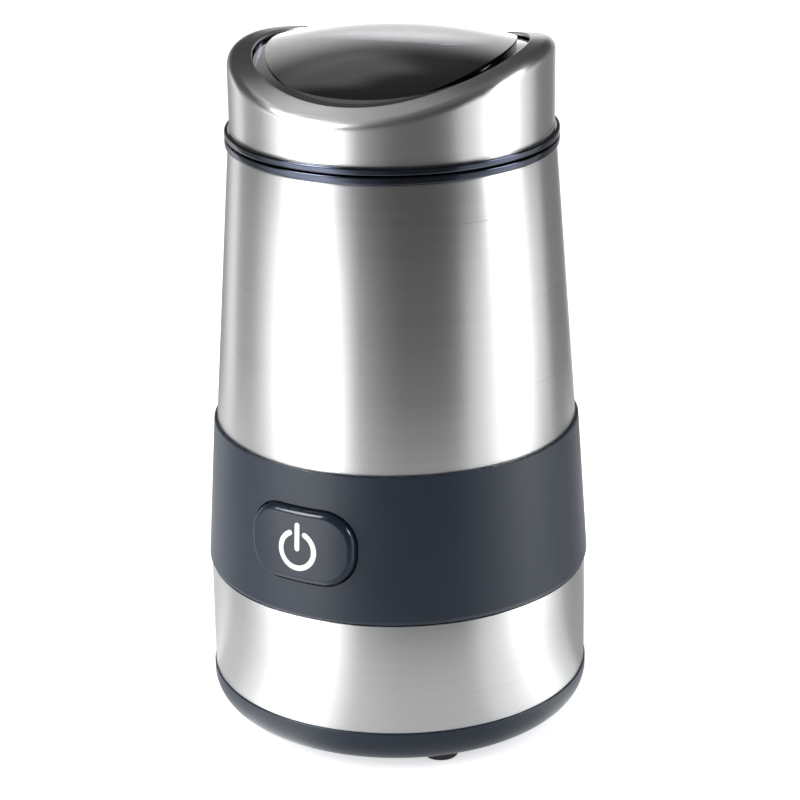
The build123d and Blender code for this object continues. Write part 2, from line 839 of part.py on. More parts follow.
# Upper bracket: legs on the core, a plate with ears for the rubber mounts, and the bearing cup
cup_r = bearing_r + bearing_wall
with BuildPart() as upper_bracket:
    with BuildSketch(Plane.XY.offset(ear_bottom)):
        Rectangle(2 * (mount_x + mount_r), bracket_depth)
    extrude(amount=bracket_plate)
    with BuildSketch(Plane.XY.offset(core_top)):
        with Locations((motor_screw_x, 0), (-motor_screw_x, 0)):
            Rectangle(leg_width, bracket_depth)
    extrude(amount=leg_height_upper)
    with BuildSketch(Plane.XY.offset(upper_cup_bottom)):
        Circle(cup_r)
    extrude(amount=upper_cup_top - upper_cup_bottom)
    fillet(upper_bracket.edges().filter_by(Axis.Z).group_by(Axis.X)[0], radius=mount_r)
    fillet(upper_bracket.edges().filter_by(Axis.Z).group_by(Axis.X)[-1], radius=mount_r)
    with BuildSketch(Plane.XY.offset(upper_cup_bottom)):
        Circle(bearing_lip_r)
    extrude(amount=upper_cup_top, mode=Mode.SUBTRACT)
    with BuildSketch(Plane.XY.offset(upper_cup_bottom + bearing_lip)):
        Circle(bearing_r + press_gap)
    extrude(amount=upper_cup_top, mode=Mode.SUBTRACT)
    with BuildSketch(Plane.XY.offset(core_top)):
        with Locations((motor_screw_x, 0), (-motor_screw_x, 0)):
            Circle(screw_r + screw_clearance)
        with Locations((mount_x, 0), (-mount_x, 0)):
            Circle(mount_neck_r + press_gap)
    extrude(amount=leg_height_upper + bracket_plate, mode=Mode.SUBTRACT)
upper_bracket.part.label = "upper_bracket"
export_step(upper_bracket.part, "parts/upper_bracket.step")

# Lower bracket: legs under the core, a cross plate, the bearing cup and the brush posts
holder_width = brush_width + 2 * (brush_play + holder_wall)
holder_height = brush_height + 2 * (brush_play + holder_wall)
brush_z = commutator_bottom + holder_height / 2
with BuildPart() as lower_bracket:
    with BuildSketch(Plane.XY.offset(lower_plate_bottom)):
        Rectangle(2 * motor_screw_x + leg_width, bracket_depth)
        Rectangle(holder_width + 2 * cross_plate_margin, 2 * (holder_end - cross_plate_margin))
    extrude(amount=bracket_plate)
    with BuildSketch(Plane.XY.offset(lower_plate_top)):
        with Locations((motor_screw_x, 0), (-motor_screw_x, 0)):
            Rectangle(leg_width, bracket_depth)
    extrude(amount=leg_height_lower)
    with BuildSketch(Plane.XY.offset(lower_plate_top)):
        post_y = (holder_start + holder_end) / 2
        with Locations((0, post_y), (0, -post_y)):
            Rectangle(holder_width, holder_length - 2 * bearing_lip)
    extrude(amount=commutator_rise)
    with BuildSketch(Plane.XY.offset(lower_cup_bottom)):
        Circle(cup_r)
    extrude(amount=lower_cup_top - lower_cup_bottom)
    with BuildSketch(Plane.XY.offset(lower_cup_bottom)):
        Circle(bearing_lip_r)
    extrude(amount=lower_cup_top, mode=Mode.SUBTRACT)
    with BuildSketch(Plane.XY.offset(lower_cup_bottom)):
        Circle(bearing_r + press_gap)
    extrude(amount=bearing_length + press_gap, mode=Mode.SUBTRACT)
    with BuildSketch(Plane.XY.offset(lower_plate_bottom)):
        with Locations((motor_screw_x, 0), (-motor_screw_x, 0)):
            Circle(screw_r + screw_clearance)
    extrude(amount=leg_height_lower + bracket_plate, mode=Mode.SUBTRACT)
lower_bracket.part.label = "lower_bracket"
export_step(lower_bracket.part, "parts/lower_bracket.step")

# Sintered bushes that the shaft runs in
with BuildPart() as upper_bearing:
    seat = upper_cup_bottom + bearing_lip
    add(ring(shaft_r + running_fit, bearing_r, seat, seat + bearing_length))
upper_bearing.part.label = "upper_bearing"
export_step(upper_bearing.part, "parts/upper_bearing.step")

with BuildPart() as lower_bearing:
    seat = lower_cup_bottom + press_gap
    add(ring(shaft_r + running_fit, bearing_r, seat, seat + bearing_length))
lower_bearing.part.label = "lower_bearing"
export_step(lower_bearing.part, "parts/lower_bearing.step")

# Long screws through both brackets and the core, each with its nut
with BuildPart() as motor_screws:
    with BuildSketch(Plane.XY.offset(lower_plate_bottom - screw_head_height)):
        with Locations((motor_screw_x, 0), (-motor_screw_x, 0)):
            RegularPolygon(screw_head_r, 6)
            Circle(screw_r, mode=Mode.SUBTRACT)
    extrude(amount=screw_head_height)
    with BuildSketch(Plane.XY.offset(ear_top)):
        with Locations((motor_screw_x, 0), (-motor_screw_x, 0)):
            Circle(screw_head_r)
    extrude(amount=screw_head_height)
    with BuildSketch(Plane.XY.offset(lower_plate_bottom - screw_head_height)):
        with Locations((motor_screw_x, 0), (-motor_screw_x, 0)):
            Circle(screw_r)
    extrude(amount=ear_top + screw_head_height - lower_plate_bottom)
motor_screws.part.label = "motor_screws"
export_step(motor_screws.part, "parts/motor_screws.step")

# Rubber bushes in the upper bracket's ears
with BuildPart() as motor_mounts:
    for x in (mount_x, -mount_x):
        with BuildSketch(Plane.XZ):
            with BuildLine():
                Polyline(
                    (x + screw_r + screw_clearance, ear_bottom - mount_flange),
                    (x + mount_r - press_gap, ear_bottom - mount_flange),
                    (x + mount_r - press_gap, ear_bottom),
                    (x + mount_neck_r, ear_bottom),
                    (x + mount_neck_r, ear_top),
                    (x + mount_r - press_gap, ear_top),
                    (x + mount_r - press_gap, ear_top + mount_flange),
                    (x + screw_r + screw_clearance, ear_top + mount_flange),
                    close=True,
                )
            make_face()
        revolve(axis=Axis((x, 0, 0), (0, 0, 1)))
motor_mounts.part.label = "motor_mounts"
export_step(motor_mounts.part, "parts/motor_mounts.step")

# Screws that hang the motor from the deck through the rubber bushes
with BuildPart() as mount_screws:
    with BuildSketch(Plane.XY.offset(ear_bottom - mount_flange - screw_head_height)):
        with Locations((mount_x, 0), (-mount_x, 0)):
            Circle(mount_head_r)
    extrude(amount=screw_head_height)
    with BuildSketch(Plane.XY.offset(ear_bottom - mount_flange)):
        with Locations((mount_x, 0), (-mount_x, 0)):
            Circle(screw_r)
    extrude(amount=deck_bottom + deck_thickness / 3 - ear_bottom + mount_flange)
mount_screws.part.label = "mount_screws"
export_step(mount_screws.part, "parts/mount_screws.step")

# Brass brush holders: square tubes closed at their outer ends
with BuildPart() as brush_holders:
    for side in (1, -1):
        with BuildSketch(Plane.XZ.offset(side * holder_start)):
            with Locations((0, brush_z)):
                Rectangle(holder_width, holder_height)
        extrude(amount=side * holder_length)
        with BuildSketch(Plane.XZ.offset(side * holder_start)):
            with Locations((0, brush_z)):
                Rectangle(brush_width + 2 * brush_play, brush_height + 2 * brush_play)
        extrude(amount=side * (holder_length - holder_wall), mode=Mode.SUBTRACT)
brush_holders.part.label = "brush_holders"
export_step(brush_holders.part, "parts/brush_holders.step")

# Carbon brushes, their faces ground to the commutator
brush_tip = commutator_r + running_fit
with BuildPart() as carbon_brushes:
    with BuildSketch(Plane.XY.offset(brush_z - brush_height / 2)):
        with Locations((0, brush_tip + brush_length / 2), (0, -brush_tip - brush_length / 2)):
            Rectangle(brush_width, brush_length)
        Circle(brush_tip, mode=Mode.SUBTRACT)
    extrude(amount=brush_height)
carbon_brushes.part.label = "carbon_brushes"
export_step(carbon_brushes.part, "parts/carbon_brushes.step")

# Springs behind the brushes
brush_back = brush_tip + brush_length
brush_spring_length = holder_end - holder_wall - brush_back
front_spring = coil_spring(
    Plane(origin=(0, -brush_back, brush_z), x_dir=(1, 0, 0), z_dir=(0, -1, 0)),
    brush_spring_r,
    brush_spring_wire_r,
    brush_spring_length,
    brush_spring_turns,
)
rear_spring = coil_spring(
    Plane(origin=(0, brush_back, brush_z), x_dir=(1, 0, 0), z_dir=(0, 1, 0)),
    brush_spring_r,
    brush_spring_wire_r,
    brush_spring_length,
    brush_spring_turns,
)
with BuildPart() as brush_springs:
    add(front_spring)
    add(rear_spring)
brush_springs.part.label = "brush_springs"
export_step(brush_springs.part, "parts/brush_springs.step")

# Shaft, stepped at its top for the blade and the nut
blade_bottom = bowl_floor + blade_height
nut_bottom = blade_bottom + blade_thickness
nut_bore_depth = nut_height - nut_crown
with BuildPart() as rotor_shaft:
    add(
        turned(
            [
                (0, fan_bottom),
                (shaft_r, fan_bottom),
                (shaft_r, blade_bottom),
                (shaft_thread_r, blade_bottom),
                (shaft_thread_r, nut_bottom + nut_bore_depth - press_gap),
                (0, nut_bottom + nut_bore_depth - press_gap),
            ]
        )
    )
rotor_shaft.part.label = "rotor_shaft"
export_step(rotor_shaft.part, "parts/rotor_shaft.step")

# Armature core with a slot for each coil
with BuildPart() as armature_core:
    add(ring(shaft_r + press_gap, armature_r, core_bottom, core_top))
    with BuildSketch(Plane.XY.offset(core_bottom)):
        with PolarLocations(armature_r, armature_slots):
            Rectangle(2 * armature_slot_depth, armature_slot_width)
    extrude(amount=core_height, mode=Mode.SUBTRACT)
armature_core.part.label = "armature_core"
export_step(armature_core.part, "parts/armature_core.step")

# End turns of the armature's winding, above and below the core
winding_inner = shaft_r + winding_shaft_gap
with BuildPart() as armature_windings:
    lower_bundle = (core_bottom - winding_lower, core_bottom)
    upper_bundle = (core_top, core_top + winding_upper)
    for low, high in (lower_bundle, upper_bundle):
        with BuildSketch(Plane.XZ):
            with Locations(((winding_inner + winding_r) / 2, (low + high) / 2)):
                RectangleRounded(winding_r - winding_inner, high - low, winding_round)
        revolve(axis=Axis.Z)
armature_windings.part.label = "armature_windings"
export_step(armature_windings.part, "parts/armature_windings.step")

# Commutator with grooves between its bars
with BuildPart() as commutator:
    add(ring(shaft_r + press_gap, commutator_r, commutator_bottom, commutator_bottom + commutator_length))
    with BuildSketch(Plane.XY.offset(commutator_bottom)):
        with PolarLocations(commutator_r, commutator_bars):
            Rectangle(2 * commutator_groove, commutator_groove)
    extrude(amount=commutator_length, mode=Mode.SUBTRACT)
commutator.part.label = "commutator"
export_step(commutator.part, "parts/commutator.step")

# Cooling fan: hub, disc and straight blades under it
with BuildPart() as cooling_fan:
    add(ring(0, fan_hub_r, fan_bottom, fan_bottom + fan_height + fan_disc))
    add(ring(0, fan_r, fan_bottom + fan_height - fan_disc, fan_bottom + fan_height))
    with BuildSketch(Plane.XY.offset(fan_bottom)):
        with PolarLocations((fan_r + fan_hub_r) / 2, fan_blades):
            Rectangle(fan_r - fan_hub_r - fan_disc, fan_disc)
    extrude(amount=fan_height - fan_disc)
    with BuildSketch(Plane.XY.offset(fan_bottom)):
        Circle(shaft_r + press_gap)
    extrude(amount=fan_height + fan_disc, mode=Mode.SUBTRACT)
cooling_fan.part.label = "cooling_fan"
export_step(cooling_fan.part, "parts/cooling_fan.step")

# Hub under the blade
with BuildPart() as blade_hub:
    add(ring(shaft_r + press_gap, hub_r, seal_top + hub_gap, blade_bottom))
blade_hub.part.label = "blade_hub"
export_step(blade_hub.part, "parts/blade_hub.step")

# Blade: one tip bent up and one bent down, ground thin along its edges
with BuildPart() as blade:
    half = bowl_r - blade_to_bowl
    flat = half - blade_tip
    with BuildSketch(Plane.XZ.offset(-blade_width / 2)):
        with BuildLine():
            Polyline(
                (-half, blade_bottom - blade_dip),
                (-flat, blade_bottom),
                (flat, blade_bottom),
                (half, blade_bottom + blade_rise),
                (half, blade_bottom + blade_rise + blade_thickness),
                (flat, blade_bottom + blade_thickness),
                (-flat, blade_bottom + blade_thickness),
                (-half, blade_bottom - blade_dip + blade_thickness),
                close=True,
            )
        make_face()
    extrude(amount=blade_width)
    top_faces = blade.faces().filter_by(lambda f: f.normal_at().Z > 0.5)
    ground_edges = top_faces.edges().filter_by(lambda e: abs(e.center().Y) > blade_width / 2 - press_gap)
    chamfer(ground_edges, length=blade_bevel)
    with BuildSketch(Plane.XY.offset(blade_bottom)):
        Circle(shaft_thread_r + press_gap)
    extrude(amount=blade_thickness, mode=Mode.SUBTRACT)
blade.part.label = "blade"
export_step(blade.part, "parts/blade.step")

# Domed nut that holds the blade
with BuildPart() as blade_nut:
    with BuildSketch(Plane.XY.offset(nut_bottom)):
        RegularPolygon(nut_r, 6)
    extrude(amount=nut_height)
    fillet(blade_nut.faces().sort_by(Axis.Z)[-1].edges(), radius=nut_round)
    with BuildSketch(Plane.XY.offset(nut_bottom)):
        Circle(shaft_thread_r + press_gap)
    extrude(amount=nut_bore_depth, mode=Mode.SUBTRACT)
blade_nut.part.label = "blade_nut"
export_step(blade_nut.part, "parts/blade_nut.step")


def button_cone(stand):
    """Solid cone that is parallel to the band and stands out of it by a distance."""
    low = button_z - button_height
    high = button_z + button_height
    return turned([(0, low), (band_radius(low) + stand, low), (band_radius(high) + stand, high), (0, high)])


# Power symbol before it is fitted to the face: an open ring with round ends and an upright bar
ring_z = button_z - symbol_ring_drop
bar_bottom = button_z - symbol_bar_bottom
bar_top = button_z + symbol_bar_top
half_opening = radians(symbol_opening / 2)
ring_end = (symbol_ring_r * sin(half_opening), ring_z + symbol_ring_r * cos(half_opening))
wedge = (2 * symbol_ring_r * sin(half_opening), ring_z + 2 * symbol_ring_r * cos(half_opening))
with BuildPart() as symbol_block:
    with BuildSketch(Plane.XZ.offset(shelf_y)):
        with Locations((0, ring_z)):
            Circle(symbol_ring_r + symbol_line / 2)
            Circle(symbol_ring_r - symbol_line / 2, mode=Mode.SUBTRACT)
        with BuildLine():
            Polyline((0, ring_z), wedge, (-wedge[0], wedge[1]), close=True)
        make_face(mode=Mode.SUBTRACT)
        with Locations(ring_end, (-ring_end[0], ring_end[1])):
            Circle(symbol_line / 2)
        with Locations((0, (bar_bottom + bar_top) / 2)):
            SlotOverall(bar_top - bar_bottom, symbol_line, rotation=90)
    extrude(amount=base_r)
symbol_recess = symbol_block.part - button_cone(button_proud - symbol_depth)

# Button: a cap with a rounded edge, its retaining flange and the stem behind it
button_face = band_radius(button_z) + button_proud
flange_front = button_face - button_depth
with BuildPart() as power_button:
    with BuildSketch(Plane.XZ.offset(flange_front - button_flange)):
        with Locations((0, button_z)):
            RectangleRounded(button_width, button_height, button_corner)
    extrude(amount=base_r)
    add(button_cone(button_proud), mode=Mode.INTERSECT)
    fillet(power_button.faces().sort_by(Axis.Y)[0].edges(), radius=button_round)
    with BuildSketch(Plane.XZ.offset(flange_front - button_flange)):
        with Locations((0, button_z)):
            RectangleRounded(
                button_width + 2 * button_flange_margin,
                button_height + 2 * button_flange_margin,
                button_corner + button_flange_margin,
            )
    extrude(amount=button_flange)
    with BuildSketch(Plane.XZ.offset(stem_end)):
        with Locations((0, button_z)):
            Circle(button_stem_r)
    extrude(amount=flange_front - button_flange - stem_end)
    add(symbol_recess, mode=Mode.SUBTRACT)
power_button.part.label = "power_button"
export_step(power_button.part, "parts/power_button.step")

# White symbol, a moulded inlay that fills the recess in the button's face
with BuildPart() as power_symbol:
    add(symbol_recess)
    add(button_cone(button_proud + symbol_proud), mode=Mode.INTERSECT)
power_symbol.part.label = "power_symbol"
export_step(power_symbol.part, "parts/power_symbol.step")

# Power switch on the shelf, its plunger and the button's spring
with BuildPart() as power_switch:
    with BuildSketch(Plane.XZ.offset(shelf_y)):
        with Locations((0, button_z)):
            Rectangle(switch_width, switch_height)
    extrude(amount=switch_depth)
    with BuildSketch(Plane.XZ.offset(switch_front)):
        with Locations((0, button_z)):
            Circle(plunger_r + running_fit)
    extrude(amount=-plunger_length, mode=Mode.SUBTRACT)
power_switch.part.label = "power_switch"
export_step(power_switch.part, "parts/power_switch.step")

with BuildPart() as power_plunger:
    with BuildSketch(Plane.XZ.offset(plunger_tip)):
        with Locations((0, button_z)):
            Circle(plunger_r)
    extrude(amount=-plunger_length)
power_plunger.part.label = "power_plunger"
export_step(power_plunger.part, "parts/power_plunger.step")

button_spring_length = flange_front - button_flange - switch_front
button_coil = coil_spring(
    Plane(origin=(0, -switch_front, button_z), x_dir=(1, 0, 0), z_dir=(0, -1, 0)),
    button_spring_r,
    button_spring_wire_r,
    button_spring_length,
    button_spring_turns,
)
with BuildPart() as button_spring:
    add(button_coil)
button_spring.part.label = "button_spring"
export_step(button_spring.part, "parts/button_spring.step")

# Interlock switch on the deck, under the push rod
with BuildPart() as interlock_switch:
    with BuildSketch(Plane.XY.offset(deck_top)):
        with PolarLocations(interlock_r, 1, start_angle=90 + lid_turn):
            Rectangle(interlock_switch_depth, switch_width)
    extrude(amount=interlock_switch_height)
    with BuildSketch(Plane.XY.offset(interlock_top)):
        with Locations(rod_place):
            Circle(interlock_plunger_r + running_fit)
    extrude(amount=-plunger_length, mode=Mode.SUBTRACT)
interlock_switch.part.label = "interlock_switch"
export_step(interlock_switch.part, "parts/interlock_switch.step")

with BuildPart() as interlock_plunger:
    with BuildSketch(Plane.XY.offset(interlock_top + interlock_plunger_stand)):
        with Locations(rod_place):
            Circle(interlock_plunger_r)
    extrude(amount=-plunger_length)
interlock_plunger.part.label = "interlock_plunger"
export_step(interlock_plunger.part, "parts/interlock_plunger.step")

# Push rod with its collar, and the spring that lifts it
tab_bottom = lid_bottom - tab_depth
rod_bottom = interlock_top + interlock_plunger_stand + moving_gap
with BuildPart() as interlock_rod:
    with BuildSketch(Plane.XY.offset(rod_bottom)):
        with Locations(rod_place):
            Circle(rod_r)
    extrude(amount=tab_bottom - moving_gap - rod_bottom)
    with BuildSketch(Plane.XY.offset(rod_collar_z)):
        with Locations(rod_place):
            Circle(rod_collar_r)
    extrude(amount=rod_collar_height)
interlock_rod.part.label = "interlock_rod"
export_step(interlock_rod.part, "parts/interlock_rod.step")

rod_coil = coil_spring(
    Plane(origin=(rod_place[0], rod_place[1], rod_seat_z + rod_seat_height)),
    rod_spring_r,
    spring_wire_r,
    rod_spring_length - moving_gap,
    rod_spring_turns,
)
with BuildPart() as interlock_spring:
    add(rod_coil)
interlock_spring.part.label = "interlock_spring"
export_step(interlock_spring.part, "parts/interlock_spring.step")

# Thermal cutout on the rear field coil, and the capacitor beside the power switch
with BuildPart() as thermal_cutout:
    coil_middle = (coil_inner_r + coil_outer_r) / 2
    with BuildSketch(Plane.XY.offset(core_top + coil_end)):
        with Locations((0, coil_middle)):
            RectangleRounded(cutout_length, cutout_width, small_round)
    extrude(amount=cutout_height)
thermal_cutout.part.label = "thermal_cutout"
export_step(thermal_cutout.part, "parts/thermal_cutout.step")

with BuildPart() as suppression_capacitor:
    with BuildSketch(Plane.XZ.offset(shelf_y)):
        with Locations((capacitor_x, button_z)):
            RectangleRounded(capacitor_width, capacitor_height, small_round)
    extrude(amount=capacitor_depth)
suppression_capacitor.part.label = "suppression_capacitor"
export_step(suppression_capacitor.part, "parts/suppression_capacitor.step")

# Rubber bush where the mains lead enters at the back
with BuildPart() as cord_inlet:
    with BuildSketch(Plane.XZ.offset(-inlet_inner)):
        with Locations((0, inlet_z)):
            Circle(inlet_flange_r)
    extrude(amount=-inlet_flange)
    with BuildSketch(Plane.XZ.offset(-inlet_inner)):
        with Locations((0, inlet_z)):
            Circle(inlet_outer_r)
    extrude(amount=-inlet_length)
    with BuildSketch(Plane.XZ.offset(-inlet_inner)):
        with Locations((0, inlet_z)):
            Circle(inlet_r)
    extrude(amount=-inlet_length, mode=Mode.SUBTRACT)
    rims = cord_inlet.edges().group_by(Axis.Y)[-1]
    fillet(rims.filter_by(lambda e: e.radius > inlet_r + shell_gap), radius=inlet_round)
cord_inlet.part.label = "cord_inlet"
export_step(cord_inlet.part, "parts/cord_inlet.step")


def lead(points):
    """Insulated wire along straight runs, with the largest arcs that the runs allow."""
    runs = [Vector(*b) - Vector(*a) for a, b in zip(points, points[1:])]
    radii = []
    for before, after in zip(runs, runs[1:]):
        half_turn = radians(before.get_angle(after)) / 2
        radii.append(0.45 * min(before.length, after.length) / tan(half_turn))
    with BuildPart() as wire:
        with BuildLine():
            path = FilletPolyline(*points, radius=radii)
        with BuildSketch(Plane(origin=path @ 0, z_dir=path % 0)):
            Circle(lead_r)
        sweep(path=path)
    ratio = wire.part.volume / (pi * lead_r**2 * path.length)
    print(f"lead {path.length:.1f} mm, volume ratio {ratio:.3f}, least bend {min(radii):.1f} mm")
    return wire.part


def round_motor(radius, angle, z):
    """Point of a lead's way round the motor, its angle in degrees from +X."""
    return (radius * cos(radians(angle)), radius * sin(radians(angle)), z)


# Leads: mains to switch, mains to field coil, and switch to interlock through the deck
switch_under = button_z - switch_height / 2
switch_over = button_z + switch_height / 2
switch_y = -(shelf_y + switch_depth / 2)
coil_under = core_bottom - coil_end
lead_to_switch = lead(
    [
        (-lead_pair, inlet_inner, inlet_z),
        (-lead_pair, inlet_inner - lead_start, inlet_z),
        round_motor(lead_low_r, 128, inlet_z + lead_rise),
        round_motor(lead_low_r, 170, inlet_z + 2 * lead_rise),
        round_motor(lead_low_r, 218, inlet_z + 3 * lead_rise),
        (-lead_pair, switch_y, inlet_z + 4 * lead_rise),
        (-lead_pair, switch_y, switch_under),
    ]
)
coil_spot = coil_inner_r + coil_width / 2
coil_x = coil_spot * cos(radians(45))
lead_to_coil = lead(
    [
        (lead_pair, inlet_inner, inlet_z),
        (lead_pair, inlet_inner - lead_start, inlet_z),
        round_motor(lead_low_r, 57, inlet_z + lead_rise),
        (coil_x + lead_rise, coil_x + lead_rise, coil_under - 3 * lead_rise),
        (coil_x, coil_x, coil_under - 2 * lead_rise),
        (coil_x, coil_x, coil_under),
    ]
)
lead_to_interlock = lead(
    [
        (lead_pair, switch_y, switch_over),
        (lead_pair, switch_y, switch_over + lead_start),
        round_motor(lead_high_r, 248, core_top),
        round_motor(lead_high_r, 198, core_top + lead_rise / 2),
        round_motor(lead_high_r, 165, core_top + lead_rise),
        round_motor(lead_high_r, 134, core_top + 2 * lead_rise),
        (lead_hole[0], lead_hole[1], ear_top),
        (lead_hole[0], lead_hole[1], lead_z),
        (switch_side[0], switch_side[1], lead_z),
    ]
)
with BuildPart() as internal_leads:
    add(lead_to_switch)
    add(lead_to_coil)
    add(lead_to_interlock)
internal_leads.part.label = "internal_leads"
export_step(internal_leads.part, "parts/internal_leads.step")

# Lid ring: thin steel with a saddle-cut land and a round hole for the dome
with BuildPart() as lid_ring:
    add(under_saddle(lid_r, 0, flange_top, rim_round))
    add(under_saddle(lid_r - steel, steel, flange_top, rim_round - steel), mode=Mode.SUBTRACT)
    with BuildSketch(Plane.XY.offset(flange_top)):
        Circle(rim_hole_r)
    extrude(amount=saddle_crest, mode=Mode.SUBTRACT)
    long_edges = lid_ring.edges().filter_by(lambda e: e.length > 2 * lid_r)
    hole_edges = long_edges.sort_by(SortBy.LENGTH)[:2]
    fillet(hole_edges.sort_by(Axis.Z)[-1], radius=rim_lip)
lid_shell = Rot(0, 0, lid_turn) * lid_ring.part
lid_shell.label = "lid_shell"
export_step(lid_shell, "parts/lid_shell.step")

# Lid cup: smoked clear plastic, one piece from the dome down to the flange, skirt and tab
with BuildPart() as lid_cup:
    add(under_saddle(cup_out_r, ledge_drop, lid_bottom))
    add(barrel(dome_r, 0))
    with BuildSketch(Plane.XY.offset(lid_bottom)):
        Circle(bead_r)
    extrude(amount=bead_height)
    round_edges = lid_cup.edges().filter_by(GeomType.CIRCLE)
    fillet(round_edges.filter_by(lambda e: e.radius > bead_r - shell_gap), radius=bead_round)
    with BuildSketch(Plane.XY.offset(lid_bottom)):
        Circle(skirt_r)
    extrude(amount=-skirt_depth)
    add(under_saddle(cup_out_r - cup_wall, ledge_drop + cup_wall, lid_bottom), mode=Mode.SUBTRACT)
    add(barrel(dome_r - cup_wall, cup_wall), mode=Mode.SUBTRACT)
    with BuildSketch(Plane.XY.offset(lid_bottom)):
        Circle(skirt_r - skirt_wall)
    extrude(amount=-skirt_depth, mode=Mode.SUBTRACT)
    with BuildSketch(Plane.XY.offset(lid_bottom)):
        with Locations((0, interlock_r)):
            Rectangle(tab_width, tab_thickness)
    extrude(amount=-tab_depth)
lid_dome = Rot(0, 0, lid_turn) * lid_cup.part
lid_dome.label = "lid_dome"
export_step(lid_dome, "parts/lid_dome.step")
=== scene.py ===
# %% [markdown]
# # An electric blade grinder
#
# The real object is a small kitchen machine: a tapered steel body with a plastic band and a raised
# button, and a lid with a smoked dome. Everything with a working shape is already there as a packed
# frame. This lesson dresses that frame: it sets up the studio, makes each finish from shader nodes,
# and models again, with Blender's own operators, the pieces whose surface decides how the object looks.

from math import cos, pi, radians, sin

import bpy
from mathutils import Matrix, Vector


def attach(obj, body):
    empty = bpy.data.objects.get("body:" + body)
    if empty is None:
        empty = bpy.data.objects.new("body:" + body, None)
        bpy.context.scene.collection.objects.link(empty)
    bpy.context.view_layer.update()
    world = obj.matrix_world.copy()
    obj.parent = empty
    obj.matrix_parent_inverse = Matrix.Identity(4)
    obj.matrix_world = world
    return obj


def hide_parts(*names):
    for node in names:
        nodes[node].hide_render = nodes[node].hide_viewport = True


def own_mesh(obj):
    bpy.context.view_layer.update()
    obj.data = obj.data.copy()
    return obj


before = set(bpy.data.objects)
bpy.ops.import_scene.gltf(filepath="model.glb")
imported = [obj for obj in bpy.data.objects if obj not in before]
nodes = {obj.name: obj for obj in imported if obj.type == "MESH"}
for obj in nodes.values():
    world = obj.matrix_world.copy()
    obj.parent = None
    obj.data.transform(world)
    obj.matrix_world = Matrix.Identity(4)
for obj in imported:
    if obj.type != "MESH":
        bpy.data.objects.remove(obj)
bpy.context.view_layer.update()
mm = 0.001

# %% [markdown]
# ## The camera
#
# The photograph looks down on the grinder from a little above, from the right of its button, through
# a long lens. The round edges of the body are ellipses in the picture, and their widths and heights
# give the camera's place. It could also be found by eye, but then every edge would be a little off.

# %% Camera from the fitted place
camera_turn = radians(29.9)
camera_reach = 0.6721
camera_height = 0.3344
camera_pitch = radians(20.396)
camera_yaw = radians(0.086)
camera_roll = radians(-0.845)
focal_pixels = 2718
picture_pixels = 800
sensor_width = 36.0


def turned_about_z(vector, angle):
    """A vector turned about the upright axis."""
    return Matrix.Rotation(angle, 3, "Z") @ Vector(vector)


def toward(azimuth, reach, height):
    """A point round the object: azimuth 0 is in front of the camera's side, positive to its right."""
    return turned_about_z((0, -reach, height), camera_turn + radians(azimuth))


ahead = turned_about_z(
    (sin(camera_yaw) * cos(camera_pitch), cos(camera_yaw) * cos(camera_pitch), -sin(camera_pitch)),
    camera_turn,
)
level_right = ahead.cross(Vector((0, 0, 1))).normalized()
level_up = level_right.cross(ahead)
right = level_right * cos(camera_roll) + level_up * sin(camera_roll)
up = level_up * cos(camera_roll) - level_right * sin(camera_roll)
camera_data = bpy.data.cameras.new("camera")
camera_data.sensor_width = sensor_width
camera_data.lens = focal_pixels / picture_pixels * sensor_width
camera = bpy.data.objects.new("camera", camera_data)
camera.matrix_world = Matrix.Translation(toward(0, camera_reach, camera_height)) @ Matrix(
    (right, up, -ahead)
).transposed().to_4x4()
bpy.context.scene.collection.objects.link(camera)
bpy.context.scene.camera = camera
print("lens:", round(camera_data.lens, 1), "mm, camera at", [round(c, 3) for c in camera.location])

# %% [markdown]
# ## Shader maths as Python
#
# A material is a graph of nodes. Written out link by link it is hard to read, so a small class wraps
# a socket and turns `+`, `-`, `*` and `/` into Math nodes. Every other node comes from one method
# that first sets the node's options and then its sockets.


# %% A wrapper for sockets and a maker of finishes
class Number:
    """A number that varies over a surface, as a node's output socket."""

    def __init__(self, finish, socket):
        self.finish = finish
        self.socket = socket

    def maths(self, operation, first, second=None):
        values = {0: first} if second is None else {0: first, 1: second}
        return self.finish.node("ShaderNodeMath", {"operation": operation}, values)

    def __add__(self, other):
        return self.maths("ADD", self, other)

    __radd__ = __add__

    def __mul__(self, other):
        return self.maths("MULTIPLY", self, other)

    __rmul__ = __mul__

    def __sub__(self, other):
        return self.maths("SUBTRACT", self, other)

    def __rsub__(self, other):
        return self.maths("SUBTRACT", other, self)

    def __truediv__(self, other):
        return self.maths("DIVIDE", self, other)


